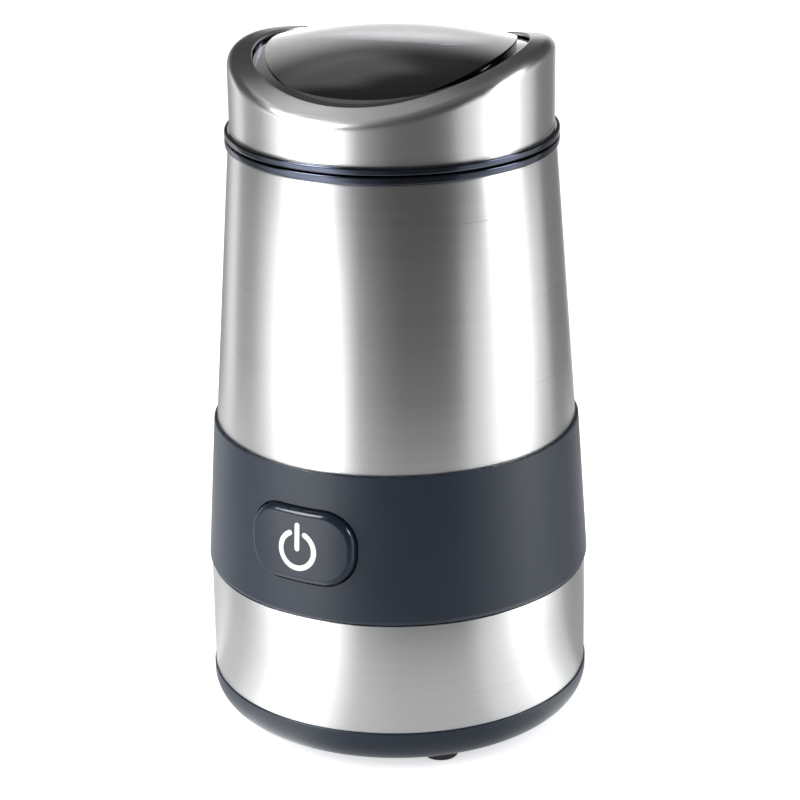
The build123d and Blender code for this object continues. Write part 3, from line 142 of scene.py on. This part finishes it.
class Finish:
    """A material in the making, round one Principled shader."""

    def __init__(self, name, **fixed):
        self.material = bpy.data.materials.new(name)
        self.material.use_nodes = True
        self.tree = self.material.node_tree
        self.shader = self.tree.nodes["Principled BSDF"]
        for socket, value in fixed.items():
            self.shader.inputs[socket.replace("_", " ")].default_value = value

    def node(self, kind, settings=None, sockets=None, output=0):
        """Adds a node, sets its options, then its sockets' values or links, and returns one output."""
        made = self.tree.nodes.new(kind)
        for option, value in (settings or {}).items():
            if option == "stops":
                self.set_stops(made.color_ramp, value)
            else:
                setattr(made, option, value)
        for socket, value in (sockets or {}).items():
            self.give(made.inputs[socket], value)
        return Number(self, made.outputs[output])

    def set_stops(self, ramp, stops):
        """Gives a colour ramp its (position, grey or colour) stops."""
        while len(ramp.elements) < len(stops):
            ramp.elements.new(0.5)
        for element, (position, value) in zip(ramp.elements, stops):
            element.position = position
            element.color = (value, value, value, 1) if isinstance(value, (int, float)) else (*value, 1)

    def give(self, socket, value):
        """Links a Number to a socket, or sets a plain value on it."""
        if isinstance(value, Number):
            self.tree.links.new(value.socket, socket)
        else:
            socket.default_value = value

    def place(self, stretch):
        """Object coordinates stretched by three factors, for patterns with a direction."""
        spot = self.node("ShaderNodeTexCoord", output="Object")
        return self.node("ShaderNodeMapping", {}, {"Vector": spot, "Scale": stretch})

    def noise(self, place, scale, detail=2.0):
        """Soft noise from 0 to 1."""
        return self.node(
            "ShaderNodeTexNoise", {}, {"Vector": place, "Scale": scale, "Detail": detail}
        )

    def coordinates(self, turn=0.0):
        """The three object coordinates, seen from a side that is turned about the upright axis."""
        spot = self.node("ShaderNodeTexCoord", output="Object")
        if turn:
            spot = self.node("ShaderNodeMapping", {}, {"Vector": spot, "Rotation": (0, 0, -turn)})
        split = self.node("ShaderNodeSeparateXYZ", {}, {0: spot}).socket.node
        return [Number(self, split.outputs[axis]) for axis in range(3)]

    def rising(self, value, start, end):
        """A smooth step from 0 to 1 between two values."""
        return self.node(
            "ShaderNodeMapRange",
            {"interpolation_type": "SMOOTHSTEP"},
            {"Value": value, "From Min": start, "From Max": end},
        )

    def ramp(self, value, stops):
        """A number passed through a colour ramp."""
        return self.node("ShaderNodeValToRGB", {"stops": stops}, {"Fac": value})

    def bump(self, height, depth, strength=1.0):
        """Bumps of a depth in metres, into the shader's normal."""
        bumped = self.node(
            "ShaderNodeBump", {}, {"Height": height, "Distance": depth, "Strength": strength}
        )
        self.give(self.shader.inputs["Normal"], bumped)

    def vary(self, socket, value):
        """Feeds a socket of the shader."""
        self.give(self.shader.inputs[socket], value)


def from_axis(x, y):
    """Distance from the upright axis."""
    return x.maths("SQRT", x * x + y * y)


print("helpers: Number, Finish and from_axis")


# %% [markdown]
# ## Brushed steel
#
# The lid, sleeve and lower ring are stainless sheet, brushed round the axis. The fine scratches run
# level round the body, so light smears up and down and stands in upright bands. Scratches alone are too
# fine for a render, so the smear comes from the shader's anisotropy, and noise that is stretched
# round the body adds the streaks that the eye can still see.


# %% Steel finishes
def brushed_steel(name, tone, roughness, smear, streak_depth):
    """Stainless steel with level brush marks."""
    finish = Finish(name, Metallic=1.0, Anisotropic=smear, Anisotropic_Rotation=0.25, IOR=2.5)
    level = finish.place((18, 18, 2600))
    streaks = finish.noise(level, 1.0, 3.0)
    broad = finish.noise(finish.place((14, 14, 160)), 1.0, 2.0)
    grain = streaks * 0.7 + broad * 0.3
    shade = finish.ramp(grain, [(0.25, tuple(0.91 * c for c in tone)), (0.75, tone)])
    finish.vary("Base Color", shade)
    finish.vary("Roughness", grain * 0.16 + (roughness - 0.08))
    finish.bump(streaks, streak_depth)
    return finish.material


body_steel = brushed_steel("brushed_steel", (0.71, 0.715, 0.72), 0.30, 0.75, 1.2e-6)
print("steel nodes:", len(body_steel.node_tree.nodes))

# %% [markdown]
# ## Slate plastic
#
# Band, base and button are one satin plastic, a blue-grey. Mould texture is a very fine grain that
# widens the highlight. A plain colour would look like paint, so the grain is a bump and the
# roughness drifts a little from place to place.


# %% Plastic finishes
def satin_plastic(name, tone, roughness, grain_size, grain_depth, ior=1.5, sheen=0.0):
    """Moulded plastic with a fine even grain."""
    finish = Finish(name, IOR=ior, Sheen_Weight=sheen, Sheen_Roughness=0.4)
    drift = finish.noise(finish.place((1, 1, 1)), 40.0, 3.0)
    darker = tuple(0.93 * c for c in tone)
    finish.vary("Base Color", finish.ramp(drift, [(0.3, darker), (0.7, tone)]))
    finish.vary("Roughness", drift * 0.08 + (roughness - 0.04))
    grain = finish.noise(finish.place((1, 1, 1)), 1 / grain_size, 2.0)
    finish.bump(grain, grain_depth, 0.6)
    return finish.material


slate_tone = (0.008, 0.0145, 0.026)
slate = satin_plastic("slate_plastic", slate_tone, 0.38, 0.35 * mm, 10e-6, 1.46, 0.08)
button_slate = satin_plastic("button_slate", slate_tone, 0.22, 0.35 * mm, 4e-6, 1.44, 0.03)
chassis_black = satin_plastic("chassis_plastic", (0.02, 0.02, 0.021), 0.5, 0.4 * mm, 15e-6)
acetal = satin_plastic("natural_acetal", (0.72, 0.71, 0.66), 0.35, 0.5 * mm, 6e-6)
switch_red = satin_plastic("switch_plastic", (0.16, 0.02, 0.018), 0.4, 0.4 * mm, 8e-6)
rubber = satin_plastic("black_rubber", (0.014, 0.014, 0.015), 0.7, 0.3 * mm, 20e-6)
carbon = satin_plastic("pressed_carbon", (0.02, 0.02, 0.02), 0.75, 0.2 * mm, 20e-6)
lead_blue = satin_plastic("lead_cover", (0.03, 0.05, 0.22), 0.45, 0.6 * mm, 8e-6)
capacitor_yellow = satin_plastic("capacitor_case", (0.62, 0.42, 0.03), 0.3, 0.6 * mm, 8e-6)
symbol_white = satin_plastic("symbol_white", (0.78, 0.79, 0.80), 0.35, 0.5 * mm, 4e-6)
print("plastic nodes:", len(slate.node_tree.nodes))

# %% [markdown]
# ## Smoked plastic
#
# The dome and its cup are one moulding of smoked clear plastic. In the photograph the crown fades
# from white at the back to dark in front, and the walls that the eye looks along are dark. One dark
# tint makes the whole dome grey. So the tint is painted by the distance from the axis: painted light
# on the crown, painted shade on the walls. The shine comes from a coat that only the crown has,
# because shiny walls fill the gap round the dome with sparkle. The crown by itself is lighter than
# real smoked plastic.
#
# The beads lie close over bright metal, so light comes back through them. Metal with a dark blue tint
# and a clear coat stands in for that layer. It is simpler, and close to the photograph, not the same.


# %% Smoked finishes
def smoked_plastic(name, crown, wall, crown_r, roughness):
    """Smoked plastic with a shiny crown inside a radius in mm and dull walls; its tint is painted light
    on the crown and painted shade on the walls.
    """
    edge_share, seat_width, coat_lost = 0.7, 0.5, 0.94
    finish = Finish(
        name, IOR=1.5, Transmission_Weight=1.0, Specular_IOR_Level=0.0, Coat_Roughness=0.02
    )
    x, y, z = finish.coordinates()
    reach = from_axis(x, y) * 1000
    haze = finish.noise(finish.place((1, 1, 1)), 60.0, 2.0)
    # Painted light and shade: the tint ramps from the light crown colour to the dark wall colour by the
    # distance from the axis.
    shade = finish.rising(reach, edge_share * crown_r, crown_r)
    seat = finish.rising(reach, crown_r - seat_width, crown_r)
    finish.vary("Base Color", finish.ramp(shade, [(0.0, crown), (1.0, wall)]))
    finish.vary("Coat Weight", 1 - seat * coat_lost)
    finish.vary("Roughness", haze * 0.02 + roughness)
    return finish.material


def tinted_bead(name, tone, roughness):
    """Smoked plastic so close over bright metal that it looks like tinted metal itself."""
    finish = Finish(name, IOR=1.5, Metallic=1.0, Coat_Weight=0.3, Coat_Roughness=0.03)
    swirl = finish.noise(finish.place((1, 1, 5)), 90.0, 2.0)
    darker = tuple(0.72 * c for c in tone)
    finish.vary("Base Color", finish.ramp(swirl, [(0.35, darker), (0.65, tone)]))
    finish.vary("Roughness", swirl * 0.08 + roughness)
    return finish.material


# Painted light for the crown and painted shade for the walls of the one smoked plastic.
crown_painted_light, wall_painted_shade = (0.93, 0.93, 0.945), (0.085, 0.095, 0.14)
smoked_clear = smoked_plastic("smoked_clear", crown_painted_light, wall_painted_shade, 32.0, 0.012)
smoked_trim = tinted_bead("smoked_trim", (0.058, 0.068, 0.098), 0.07)
print("smoked nodes:", len(smoked_clear.node_tree.nodes))

# %% [markdown]
# ## Bare metals inside
#
# Bowl, blade, motor and screws show when the lid is off or the base is open. Each gets its own
# working: the bowl is drawn and polished, the blade ground along its length, copper is lacquered,
# cores are stacked sheets.


# %% Metals and stacked sheets
def worked_metal(name, tone, roughness, stretch, depth):
    """Metal with marks along the directions that are stretched least."""
    finish = Finish(name, Metallic=1.0)
    marks = finish.noise(finish.place(stretch), 1.0, 3.0)
    darker = tuple(0.85 * c for c in tone)
    finish.vary("Base Color", finish.ramp(marks, [(0.3, darker), (0.7, tone)]))
    finish.vary("Roughness", marks * 0.14 + (roughness - 0.07))
    finish.bump(marks, depth)
    return finish.material


bowl_steel = worked_metal("bowl_steel", (0.66, 0.66, 0.65), 0.2, (40, 40, 900), 3e-6)
blade_steel = worked_metal("blade_steel", (0.62, 0.62, 0.62), 0.22, (60, 1800, 1800), 3e-6)
screw_steel = worked_metal("screw_steel", (0.55, 0.55, 0.54), 0.3, (300, 300, 1500), 3e-6)
shaft_steel = worked_metal("shaft_steel", (0.60, 0.60, 0.60), 0.18, (100, 100, 2500), 2e-6)
spring_steel = worked_metal("spring_steel", (0.50, 0.50, 0.49), 0.25, (400, 400, 400), 2e-6)
copper = worked_metal("winding_copper", (0.60, 0.24, 0.10), 0.3, (900, 900, 2600), 20e-6)
brass = worked_metal("pressed_brass", (0.70, 0.50, 0.20), 0.3, (300, 300, 300), 5e-6)
bronze = worked_metal("sintered_bronze", (0.48, 0.32, 0.16), 0.5, (1500, 1500, 1500), 15e-6)
alloy = worked_metal("cast_alloy", (0.58, 0.58, 0.58), 0.45, (900, 900, 900), 20e-6)
cutout_case = worked_metal("cutout_case", (0.62, 0.62, 0.61), 0.3, (500, 60, 500), 4e-6)
sheet_iron = worked_metal("stacked_sheets", (0.22, 0.22, 0.23), 0.5, (30, 30, 2000), 40e-6)
print("materials so far:", len(bpy.data.materials))

# %% [markdown]
# ## Dressing the frame's own pieces
#
# A piece of the frame whose shape is right stays, and only its material slots are filled. The table
# goes by material, so that one look finds everything that a finish is on.

# %% Which finish goes on which node
worn_by = {
    body_steel: ["lid_shell", "upper_shell", "lower_shell"],
    slate: ["base_cover", "control_band"],
    button_slate: ["power_button"],
    smoked_clear: ["lid_dome"],
    smoked_trim: ["bowl_collar"],
    symbol_white: ["power_symbol"],
    rubber: ["feet", "bowl_seal", "motor_mounts", "cord_inlet"],
    bowl_steel: ["grinding_bowl"],
    blade_steel: ["blade", "blade_hub", "blade_nut"],
    screw_steel: ["base_screws", "motor_screws", "mount_screws"],
    chassis_black: ["inner_housing", "power_plunger", "interlock_plunger"],
    acetal: ["interlock_rod", "cooling_fan"],
    copper: ["field_coils", "armature_windings", "commutator"],
    sheet_iron: ["stator_core", "armature_core"],
    alloy: ["upper_bracket", "lower_bracket"],
    bronze: ["upper_bearing", "lower_bearing"],
    brass: ["brush_holders"],
    carbon: ["carbon_brushes"],
    spring_steel: ["brush_springs", "button_spring", "interlock_spring"],
    shaft_steel: ["rotor_shaft"],
    switch_red: ["power_switch", "interlock_switch"],
    cutout_case: ["thermal_cutout"],
    capacitor_yellow: ["suppression_capacitor"],
    lead_blue: ["internal_leads"],
}
for material, names in worn_by.items():
    for name in names:
        nodes[name].data.materials.clear()
        nodes[name].data.materials.append(material)
print("dressed:", sum(len(names) for names in worn_by.values()), "nodes")

# %% [markdown]
# ## Turned pieces
#
# Most of the body is round: sheet metal that was spun or rolled over a former. In Blender the same
# thing is a section swept round the axis with Spin. A cylinder with bevels would also do, but a section
# shows each hem, step and radius as a drawing does. The section starts as a plane that is merged
# to a single point and extruded from corner to corner.


# %% A section drawn point by point and spun round
def deselect():
    """Operators act on all that is selected, so every step starts from nothing selected."""
    if bpy.context.object is not None and bpy.context.object.mode != "OBJECT":
        bpy.ops.object.mode_set(mode="OBJECT")
    bpy.ops.object.select_all(action="DESELECT")


def arc(radius, height, size, start, end, steps=8):
    """Points of a round corner in a section: its centre, its size and two angles in degrees."""
    angles = [radians(start + (end - start) * step / steps) for step in range(steps + 1)]
    return [(radius + size * cos(angle), height + size * sin(angle)) for angle in angles]


def finished(piece, name, finish, body, corner, segments=3):
    """Rounds a piece's hard corners, smooths it, and says what it is made of and rides on."""
    piece.name = name
    if corner:
        bevel = piece.modifiers.new("corners", "BEVEL")
        bevel.width = corner * mm
        bevel.segments = segments
        bevel.angle_limit = radians(30)
        bpy.ops.object.modifier_apply(modifier=bevel.name)
    bpy.ops.object.shade_smooth_by_angle(angle=radians(35))
    piece.data.materials.append(finish)
    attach(piece, body)


def turned_piece(name, outline, finish, body, corner=0.0, steps=160):
    """A closed section of (radius, height) points in mm, spun round the axis."""
    deselect()
    bpy.ops.mesh.primitive_plane_add(size=mm, location=(0, 0, 0))
    piece = bpy.context.object
    bpy.ops.object.mode_set(mode="EDIT")
    bpy.ops.mesh.select_all(action="SELECT")
    bpy.ops.mesh.merge(type="CENTER")
    bpy.ops.transform.translate(value=(outline[0][0] * mm, 0, outline[0][1] * mm))
    for (r0, h0), (r1, h1) in zip(outline, outline[1:] + outline[:1]):
        bpy.ops.mesh.extrude_region_move(
            TRANSFORM_OT_translate={"value": ((r1 - r0) * mm, 0, (h1 - h0) * mm)}
        )
    bpy.ops.mesh.select_all(action="SELECT")
    bpy.ops.mesh.remove_doubles(threshold=0.001 * mm)
    bpy.ops.mesh.spin(steps=steps, angle=2 * pi, center=(0, 0, 0), axis=(0, 0, 1))
    bpy.ops.mesh.select_all(action="SELECT")
    bpy.ops.mesh.remove_doubles(threshold=0.001 * mm)
    bpy.ops.mesh.normals_make_consistent(inside=False)
    bpy.ops.object.mode_set(mode="OBJECT")
    finished(piece, name, finish, body, corner)
    print(name, "faces:", len(piece.data.polygons))
    return piece


# %% [markdown]
# ## The tapered sleeve
#
# The sleeve is one sheet of steel, rolled to a cone and welded. It tucks 2 mm into the band, and its
# upper edge is turned in under the bead so that no raw edge shows. A frame piece would do for the
# shape, but its long thin triangles catch the light as hairlines. A spun section has even faces.

# %% Sleeve
sleeve_section = [(46.55, 79.8), (47.34, 79.8), (41.95, 154.7)]
sleeve_section += arc(41.35, 154.7, 0.58, 4, 90, 5) + [(41.1, 155.28)]
sleeve = turned_piece("sleeve", sleeve_section, body_steel, "housing", corner=0.1)
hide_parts("upper_shell")

# %% [markdown]
# ## The lower ring
#
# A short straight ring of the same sheet. It has one round opening at the back, where the inlet's
# rubber bush comes through. The ring is spun, and the opening is cut by a cylinder with a Boolean.
# Cutting a face loop by hand would leave an uneven edge on the curved sheet.

# %% Lower ring with the bush's opening
lower_ring = turned_piece(
    "lower_ring",
    [(49.2, 12.0), (50.0, 12.0), (50.0, 42.1), (49.2, 42.1)],
    body_steel, "housing", corner=0.15,
)
bush_r, ring_r, inlet_z, punch_depth = 5.3, 50, 24, 12
deselect()
bpy.ops.mesh.primitive_cylinder_add(
    radius=bush_r * mm, depth=punch_depth * mm, vertices=64,
    location=(0, ring_r * mm, inlet_z * mm), rotation=(pi / 2, 0, 0),
)
punch = bpy.context.object
deselect()
lower_ring.select_set(True)
bpy.context.view_layer.objects.active = lower_ring
cut = lower_ring.modifiers.new("opening", "BOOLEAN")
cut.operation = "DIFFERENCE"
cut.solver = "EXACT"
cut.object = punch
bpy.ops.object.modifier_apply(modifier=cut.name)
bpy.ops.object.shade_smooth_by_angle(angle=radians(35))
bpy.data.objects.remove(punch)
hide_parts("lower_shell")
print("lower ring faces:", len(lower_ring.data.polygons))

# %% [markdown]
# ## The two beads
#
# Lid and body meet in two smoked rings with a fine dark gap between them. They are the visible rims
# of the lid's cup and of the collar. Each could be left to the frame, but the frame's lid bead is as
# clear as the dome, while the real one looks like dark blue glass over metal. So each gets a ring of
# its own, flat in front with rounded edges, a few hundredths of a millimetre proud of the frame.

# %% Beads
turned_piece(
    "collar_bead",
    [(41.96, 155.27), (42.72, 155.27), (42.72, 157.19), (41.96, 157.19)],
    smoked_trim, "housing", corner=0.5,
)
turned_piece(
    "lid_bead",
    [(41.42, 157.52), (42.72, 157.52), (42.72, 159.42), (41.42, 159.42)],
    smoked_trim, "lid", corner=0.5,
)

# %% [markdown]
# ## The bowl
#
# The bowl is drawn from one steel disc: a wide radius at the floor, a tight one where the wall turns
# out into the flange, and a pressed ring in the floor that stiffens it. All of that is in one section.

# %% Bowl
bowl_section = [(5.0, 113.0), (11.4, 113.0), (12.0, 112.6), (14.0, 112.6), (14.6, 113.0)]
bowl_section += arc(22.8, 123.0, 10.0, -90, 0, 10)
bowl_section += arc(33.6, 150.2, 0.8, 180, 90, 4)
bowl_section += arc(35.2, 151.4, 0.4, -90, 90, 6)
bowl_section += arc(33.0, 150.8, 1.0, 90, 180, 5)
bowl_section += arc(22.8, 123.0, 9.2, 0, -90, 10)
bowl_section += [(14.6, 113.8), (14.0, 113.4), (12.0, 113.4), (11.4, 113.8), (5.0, 113.8)]
bowl = turned_piece("bowl", bowl_section, bowl_steel, "housing")
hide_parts("grinding_bowl")

# %% [markdown]
# ## The feet
#
# Four rubber feet sit in recesses of the base. The underside of each is hollowed, so that it grips a
# smooth worktop. One foot is modelled from a cylinder with Inset and a move, and copied three times,
# each copy with its own mesh.

# %% One foot, copied
foot_r, foot_height, foot_spot = 4.5, 3.5, 27.93
hollow_rim, hollow_depth, pad_rim, pad_rise, foot_corner = 1.4, 0.5, 0.9, 0.3, 0.5
foot_spots = [(sx * foot_spot, sy * foot_spot) for sx, sy in ((-1, -1), (1, -1), (1, 1), (-1, 1))]
feet = []
for index, (foot_x, foot_y) in enumerate(foot_spots):
    deselect()
    if not feet:
        bpy.ops.mesh.primitive_cylinder_add(
            radius=foot_r * mm, depth=foot_height * mm, vertices=64,
            location=(foot_x * mm, foot_y * mm, foot_height / 2 * mm),
        )
        foot = bpy.context.object
        bpy.ops.object.transform_apply()
        bpy.ops.object.mode_set(mode="EDIT")
        bpy.ops.mesh.select_all(action="DESELECT")
        bpy.ops.object.mode_set(mode="OBJECT")
        for face in foot.data.polygons:
            face.select = face.normal.z < -0.9
        bpy.ops.object.mode_set(mode="EDIT")
        bpy.ops.mesh.inset(thickness=hollow_rim * mm)
        bpy.ops.transform.translate(value=(0, 0, hollow_depth * mm))
        bpy.ops.mesh.inset(thickness=pad_rim * mm)
        bpy.ops.transform.translate(value=(0, 0, -pad_rise * mm))
        bpy.ops.object.mode_set(mode="OBJECT")
        finished(foot, "foot_1", rubber, "housing", foot_corner, 4)
    else:
        foot = feet[0].copy()
        foot.data = feet[0].data.copy()
        foot.name = "foot_" + str(index + 1)
        bpy.context.scene.collection.objects.link(foot)
        first_x, first_y = foot_spots[0]
        shift = ((foot_x - first_x) * mm, (foot_y - first_y) * mm, 0)
        foot.data.transform(Matrix.Translation(shift))
        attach(foot, "housing")
    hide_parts("feet")
    feet.append(foot)
print("feet:", [foot.name for foot in feet])

# %% [markdown]
# ## The button's spring
#
# A coil of spring wire pushes the button out from the switch behind it. Pressed, it gets shorter, which
# a rigid copy of the frame's piece can't do. So the coil gets a mesh of its own.

# %% Spring with a mesh of its own
coil = nodes["button_spring"].copy()
coil.data = nodes["button_spring"].data.copy()
coil.name = "button_coil"
bpy.context.scene.collection.objects.link(coil)
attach(coil, "housing")
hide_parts("button_spring")
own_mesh(coil)

# %% [markdown]
# ## The studio
#
# The photograph is a product shot on white: a big soft light on each side, a darker gap between them
# where the camera stands, and a white table. Steel only shows what is round it, so those lights draw
# the bright and dark bands on the body. What lights the object and what it mirrors are set apart
# here: area lights light it, and a round tent with glowing panels is what its shiny skin mirrors.


# %% Small helpers for the studio
def seen_only_by(thing, *rays):
    """Hides a thing from every kind of ray but the ones named."""
    for ray in ("camera", "diffuse", "glossy", "transmission", "volume_scatter", "shadow"):
        setattr(thing, "visible_" + ray, ray in rays)


def soft_light(name, azimuth, reach, low, high, width, power):
    """A rectangular soft light that faces the object's axis and isn't mirrored by it."""
    data = bpy.data.lights.new(name, "AREA")
    data.shape = "RECTANGLE"
    data.size = width
    data.size_y = high - low
    data.energy = power
    light = bpy.data.objects.new(name, data)
    place = toward(azimuth, reach, (low + high) / 2)
    light.location = place
    light.rotation_mode = "QUATERNION"
    light.rotation_quaternion = Vector((-place.x, -place.y, 0)).to_track_quat("-Z", "Y")
    light.visible_camera = False
    light.visible_glossy = False
    bpy.context.scene.collection.objects.link(light)


def stage_sphere(name, radius, material, ray, segments=48, rings=24):
    """A sphere round everything that only one kind of ray sees."""
    deselect()
    bpy.ops.mesh.primitive_uv_sphere_add(radius=radius, segments=segments, ring_count=rings)
    sphere = bpy.context.object
    sphere.name = name
    sphere.data.materials.append(material)
    seen_only_by(sphere, ray)
    return sphere


print("helpers: seen_only_by, soft_light and stage_sphere")

# %% [markdown]
# ## The floor
#
# In the photograph the floor is as white as the background, with only a soft shadow under the base. A
# plain white plane would go grey away from the lights. A little glow of its own lifts it to white
# and leaves the shadow. Steel mirrors the floor by a thing of its own, further down.

# %% White floor
floor_white, floor_size, floor_lift = (0.93, 0.93, 0.94, 1), 12, 0.62
floor_finish = Finish(
    "floor_white", Base_Color=floor_white, Roughness=0.9, Specular_IOR_Level=0.1,
    Emission_Color=floor_white, Emission_Strength=floor_lift,
)
deselect()
bpy.ops.mesh.primitive_plane_add(size=floor_size, location=(0, 0, 0))
floor = bpy.context.object
floor.name = "studio_floor"
floor.data.materials.append(floor_finish.material)
seen_only_by(floor, "camera", "diffuse", "shadow")
print("floor:", floor_size, "m wide")

# %% [markdown]
# ## The tent that the steel mirrors
#
# Each panel of the tent is a span of angles round the object: the angle where it starts to glow, the
# angle where it is full, and the same two on its other side. The angles count from the camera,
# positive to its right. The left panel is the main light, wide and hard-edged towards the camera. The
# right one fades from its middle. Everything else is fill. Mirrored in a round body, an angle of the
# tent shows at half that angle.

# %% Panels of the tent
panels = {
    "left_box": (-108, -72, -42, -22, 1.75),
    "left_core": (-84, -70, -48, -36, 1.5),
    "left_spill": (-70, -40, -30, 6, 0.30),
    "left_wing": (-152, -134, -131, -124, 0.72),
    "left_fill": (-168, -148, -95, -70, 0.32),
    "right_edge": (41, 50, 115, 121, 0.56),
    "right_core": (48, 78, 84, 118, 0.80),
    "right_lamp_low": (66, 78, 90, 104, 0.8),
    "right_fill": (28, 50, 181, 182, 0.12),
    "back_right": (150, 178, 181, 182, 1.0),
    "back_left": (-182, -181, -179, -162, 1.0),
    "left_back": (-182, -181, -160, -150, 0.12),
}
tent_dark = 0.135
belt_glow, belt_start, belt_full = 0.07, 3, 16
ceiling_glow, ceiling_start, ceiling_full = 0.16, 46, 66
lamps = {
    "left_lamp": (-88, -76, -58, -46, 26, 32, 50, 60, 18.0),
    "right_lamp": (66, 74, 90, 98, 14, 20, 28, 34, 14.0),
    "rim_lamp": (-178, -158, -128, -112, 48, 56, 66, 74, 0.5),
}


def tent_glow(finish, spread=1.0):
    """How bright the tent is at each angle round the object, then the angle and the coordinates."""
    x, y, z = finish.coordinates(camera_turn)
    angle = x.maths("ARCTAN2", x, y * -1.0) * (180 / pi * spread)
    glow = tent_dark
    for start, full, fading, end, level in panels.values():
        glow = glow + finish.rising(angle, start, full) * (1 - finish.rising(angle, fading, end)) * level
    return glow, angle, x, y, z


def glowing(finish, glow, cover=None):
    """Ends a studio material in plain glow, clear where the cover is 0."""
    out = finish.tree.nodes["Material Output"]
    light = finish.node("ShaderNodeEmission", {}, {"Color": (1, 1, 1, 1), "Strength": glow})
    if cover is not None:
        clear = finish.node("ShaderNodeBsdfTransparent")
        light = finish.node("ShaderNodeMixShader", {}, {0: cover, 1: clear, 2: light})
    finish.give(out.inputs["Surface"], light)
    finish.tree.nodes.remove(finish.shader)
    finish.material.cycles.emission_sampling = "NONE"
    return finish.material


print("panels:", len(panels), "and lamps:", len(lamps))

# %% The tent itself
tent_radius = 3.0
tent_finish = Finish("tent_glow")
glow, angle, x, y, z = tent_glow(tent_finish)
height = z.maths("ARCSINE", z / tent_radius) * (180 / pi)
belt = tent_finish.rising(height, belt_start, belt_full)
ceiling = tent_finish.rising(height, ceiling_start, ceiling_full)
glow = glow * (1 - belt) + belt * belt_glow + ceiling * (ceiling_glow - belt_glow)
for left, left_full, right_full, right_end, low, low_full, high_full, high, level in lamps.values():
    across = tent_finish.rising(angle, left, left_full)
    across = across * (1 - tent_finish.rising(angle, right_full, right_end))
    upright = tent_finish.rising(height, low, low_full)
    upright = upright * (1 - tent_finish.rising(height, high_full, high))
    glow = glow + across * upright * level
stage_sphere("light_tent", tent_radius, glowing(tent_finish, glow), "glossy", 64, 32)
print("tent nodes:", len(tent_finish.tree.nodes))

# %% [markdown]
# ## The mirrored table
#
# A steel cylinder also mirrors the table that it stands on, brightest just above its foot. The real
# table is lit by the same panels, so this disc glows by the tent's own angles, a little spread out,
# on top of an even white. Behind the object it is dimmed on one side and lifted on the other to follow
# the photograph's edges. A plain white floor would fill the whole lower half of the steel.

# %% The white table near the object, as its skin mirrors it
table_reach, table_fade, table_spread, table_height = 0.13, 0.32, 1.22, 0.0001
tent_share, table_white, left_lift, right_dip = 0.44, 0.56, 0.2, 0.24
table_finish = Finish("table_glow")
glow, angle, x, y, z = tent_glow(table_finish, table_spread)
behind_right = table_finish.rising(angle, 98, 128) * (1 - table_finish.rising(angle, 156, 172))
behind_left = 1 - table_finish.rising(angle, -176, -138)
cover = 1 - table_finish.rising(from_axis(x, y), table_reach, table_fade)
glow = glow * tent_share + table_white + behind_left * left_lift - behind_right * right_dip
deselect()
bpy.ops.mesh.primitive_circle_add(
    radius=table_fade, vertices=64, fill_type="NGON", location=(0, 0, table_height)
)
table = bpy.context.object
bpy.ops.object.transform_apply()
table.name = "mirrored_table"
table.data.materials.append(glowing(table_finish, glow, cover))
seen_only_by(table, "glossy")
print("table: even to", table_reach, "m, gone at", table_fade, "m")

# %% [markdown]
# ## A card for the dome
#
# In the photograph the back of the dome is white, as if it mirrored something that the steel round
# it doesn't. The true cause isn't known, so this card is a stand-in for the look alone. Light linking
# makes it: the card's receiver collection holds only the dome. The card lets through what is behind
# it, so it is an emission added to a clear shader, bright behind the object and below a height.

# %% A soft card behind that only the smoked dome mirrors
card_radius, card_strength, card_full, card_end = 2.6, 1.3, 34, 60
card_finish = Finish("dome_card")
glow, angle, x, y, z = tent_glow(card_finish)
height = z.maths("ARCSINE", z / card_radius) * (180 / pi)
in_front = card_finish.rising(angle, -150, -115) * (1 - card_finish.rising(angle, 115, 150))
card_glow = (1 - in_front) * (1 - card_finish.rising(height, card_full, card_end)) * card_strength
white = {"Color": (1, 1, 1, 1), "Strength": card_glow}
card_light = card_finish.node("ShaderNodeEmission", {}, white)
card_clear = card_finish.node("ShaderNodeBsdfTransparent")
card_both = card_finish.node("ShaderNodeAddShader", {}, {0: card_light, 1: card_clear})
card_finish.give(card_finish.tree.nodes["Material Output"].inputs["Surface"], card_both)
card_finish.tree.nodes.remove(card_finish.shader)
card = stage_sphere("dome_card", card_radius, card_finish.material, "glossy")
card_sees = bpy.data.collections.new("mirrors_the_card")
card_sees.objects.link(nodes["lid_dome"])
card.light_linking.receiver_collection = card_sees

# %% [markdown]
# ## Lights, backdrop and the room behind the dome
#
# Two area lights light what is matt: the plastic, the rubber and the floor. The camera sees a plain
# white backdrop. Through the dome another room shows, white at table height and dark above. It
# too is there for the look alone, for the fade from back to front. The world gives a dim even fill.

# %% Lights for the matt surfaces
light_reach, light_low, light_high = 0.95, 0.02, 1.1
soft_light("left_softbox", -80, light_reach, light_low, light_high, 1.6, 22)
soft_light("right_softbox", 85, light_reach, light_low, light_high, 1.2, 12)
print("lights:", [thing.name for thing in bpy.data.lights])

# %% Backdrop, room and world
stage_sphere("backdrop", 5.8, glowing(Finish("backdrop_white"), 1.0), "camera")

room_radius, room_white, room_fall, room_low, room_high = 5.4, 1.4, 1.3, 0.02, 0.22
room_finish = Finish("room_through_dome")
x, y, z = room_finish.coordinates()
room_glow = room_white - room_finish.rising(z / room_radius, room_low, room_high) * room_fall
stage_sphere("room_through_dome", room_radius, glowing(room_finish, room_glow), "transmission")

world = bpy.data.worlds.new("studio")
world.use_nodes = True
world.node_tree.nodes["Background"].inputs["Color"].default_value = (0.22, 0.225, 0.24, 1)
bpy.context.scene.world = world
bpy.context.scene.view_settings.view_transform = "Standard"
print("room:", room_radius, "m, world:", world.name)
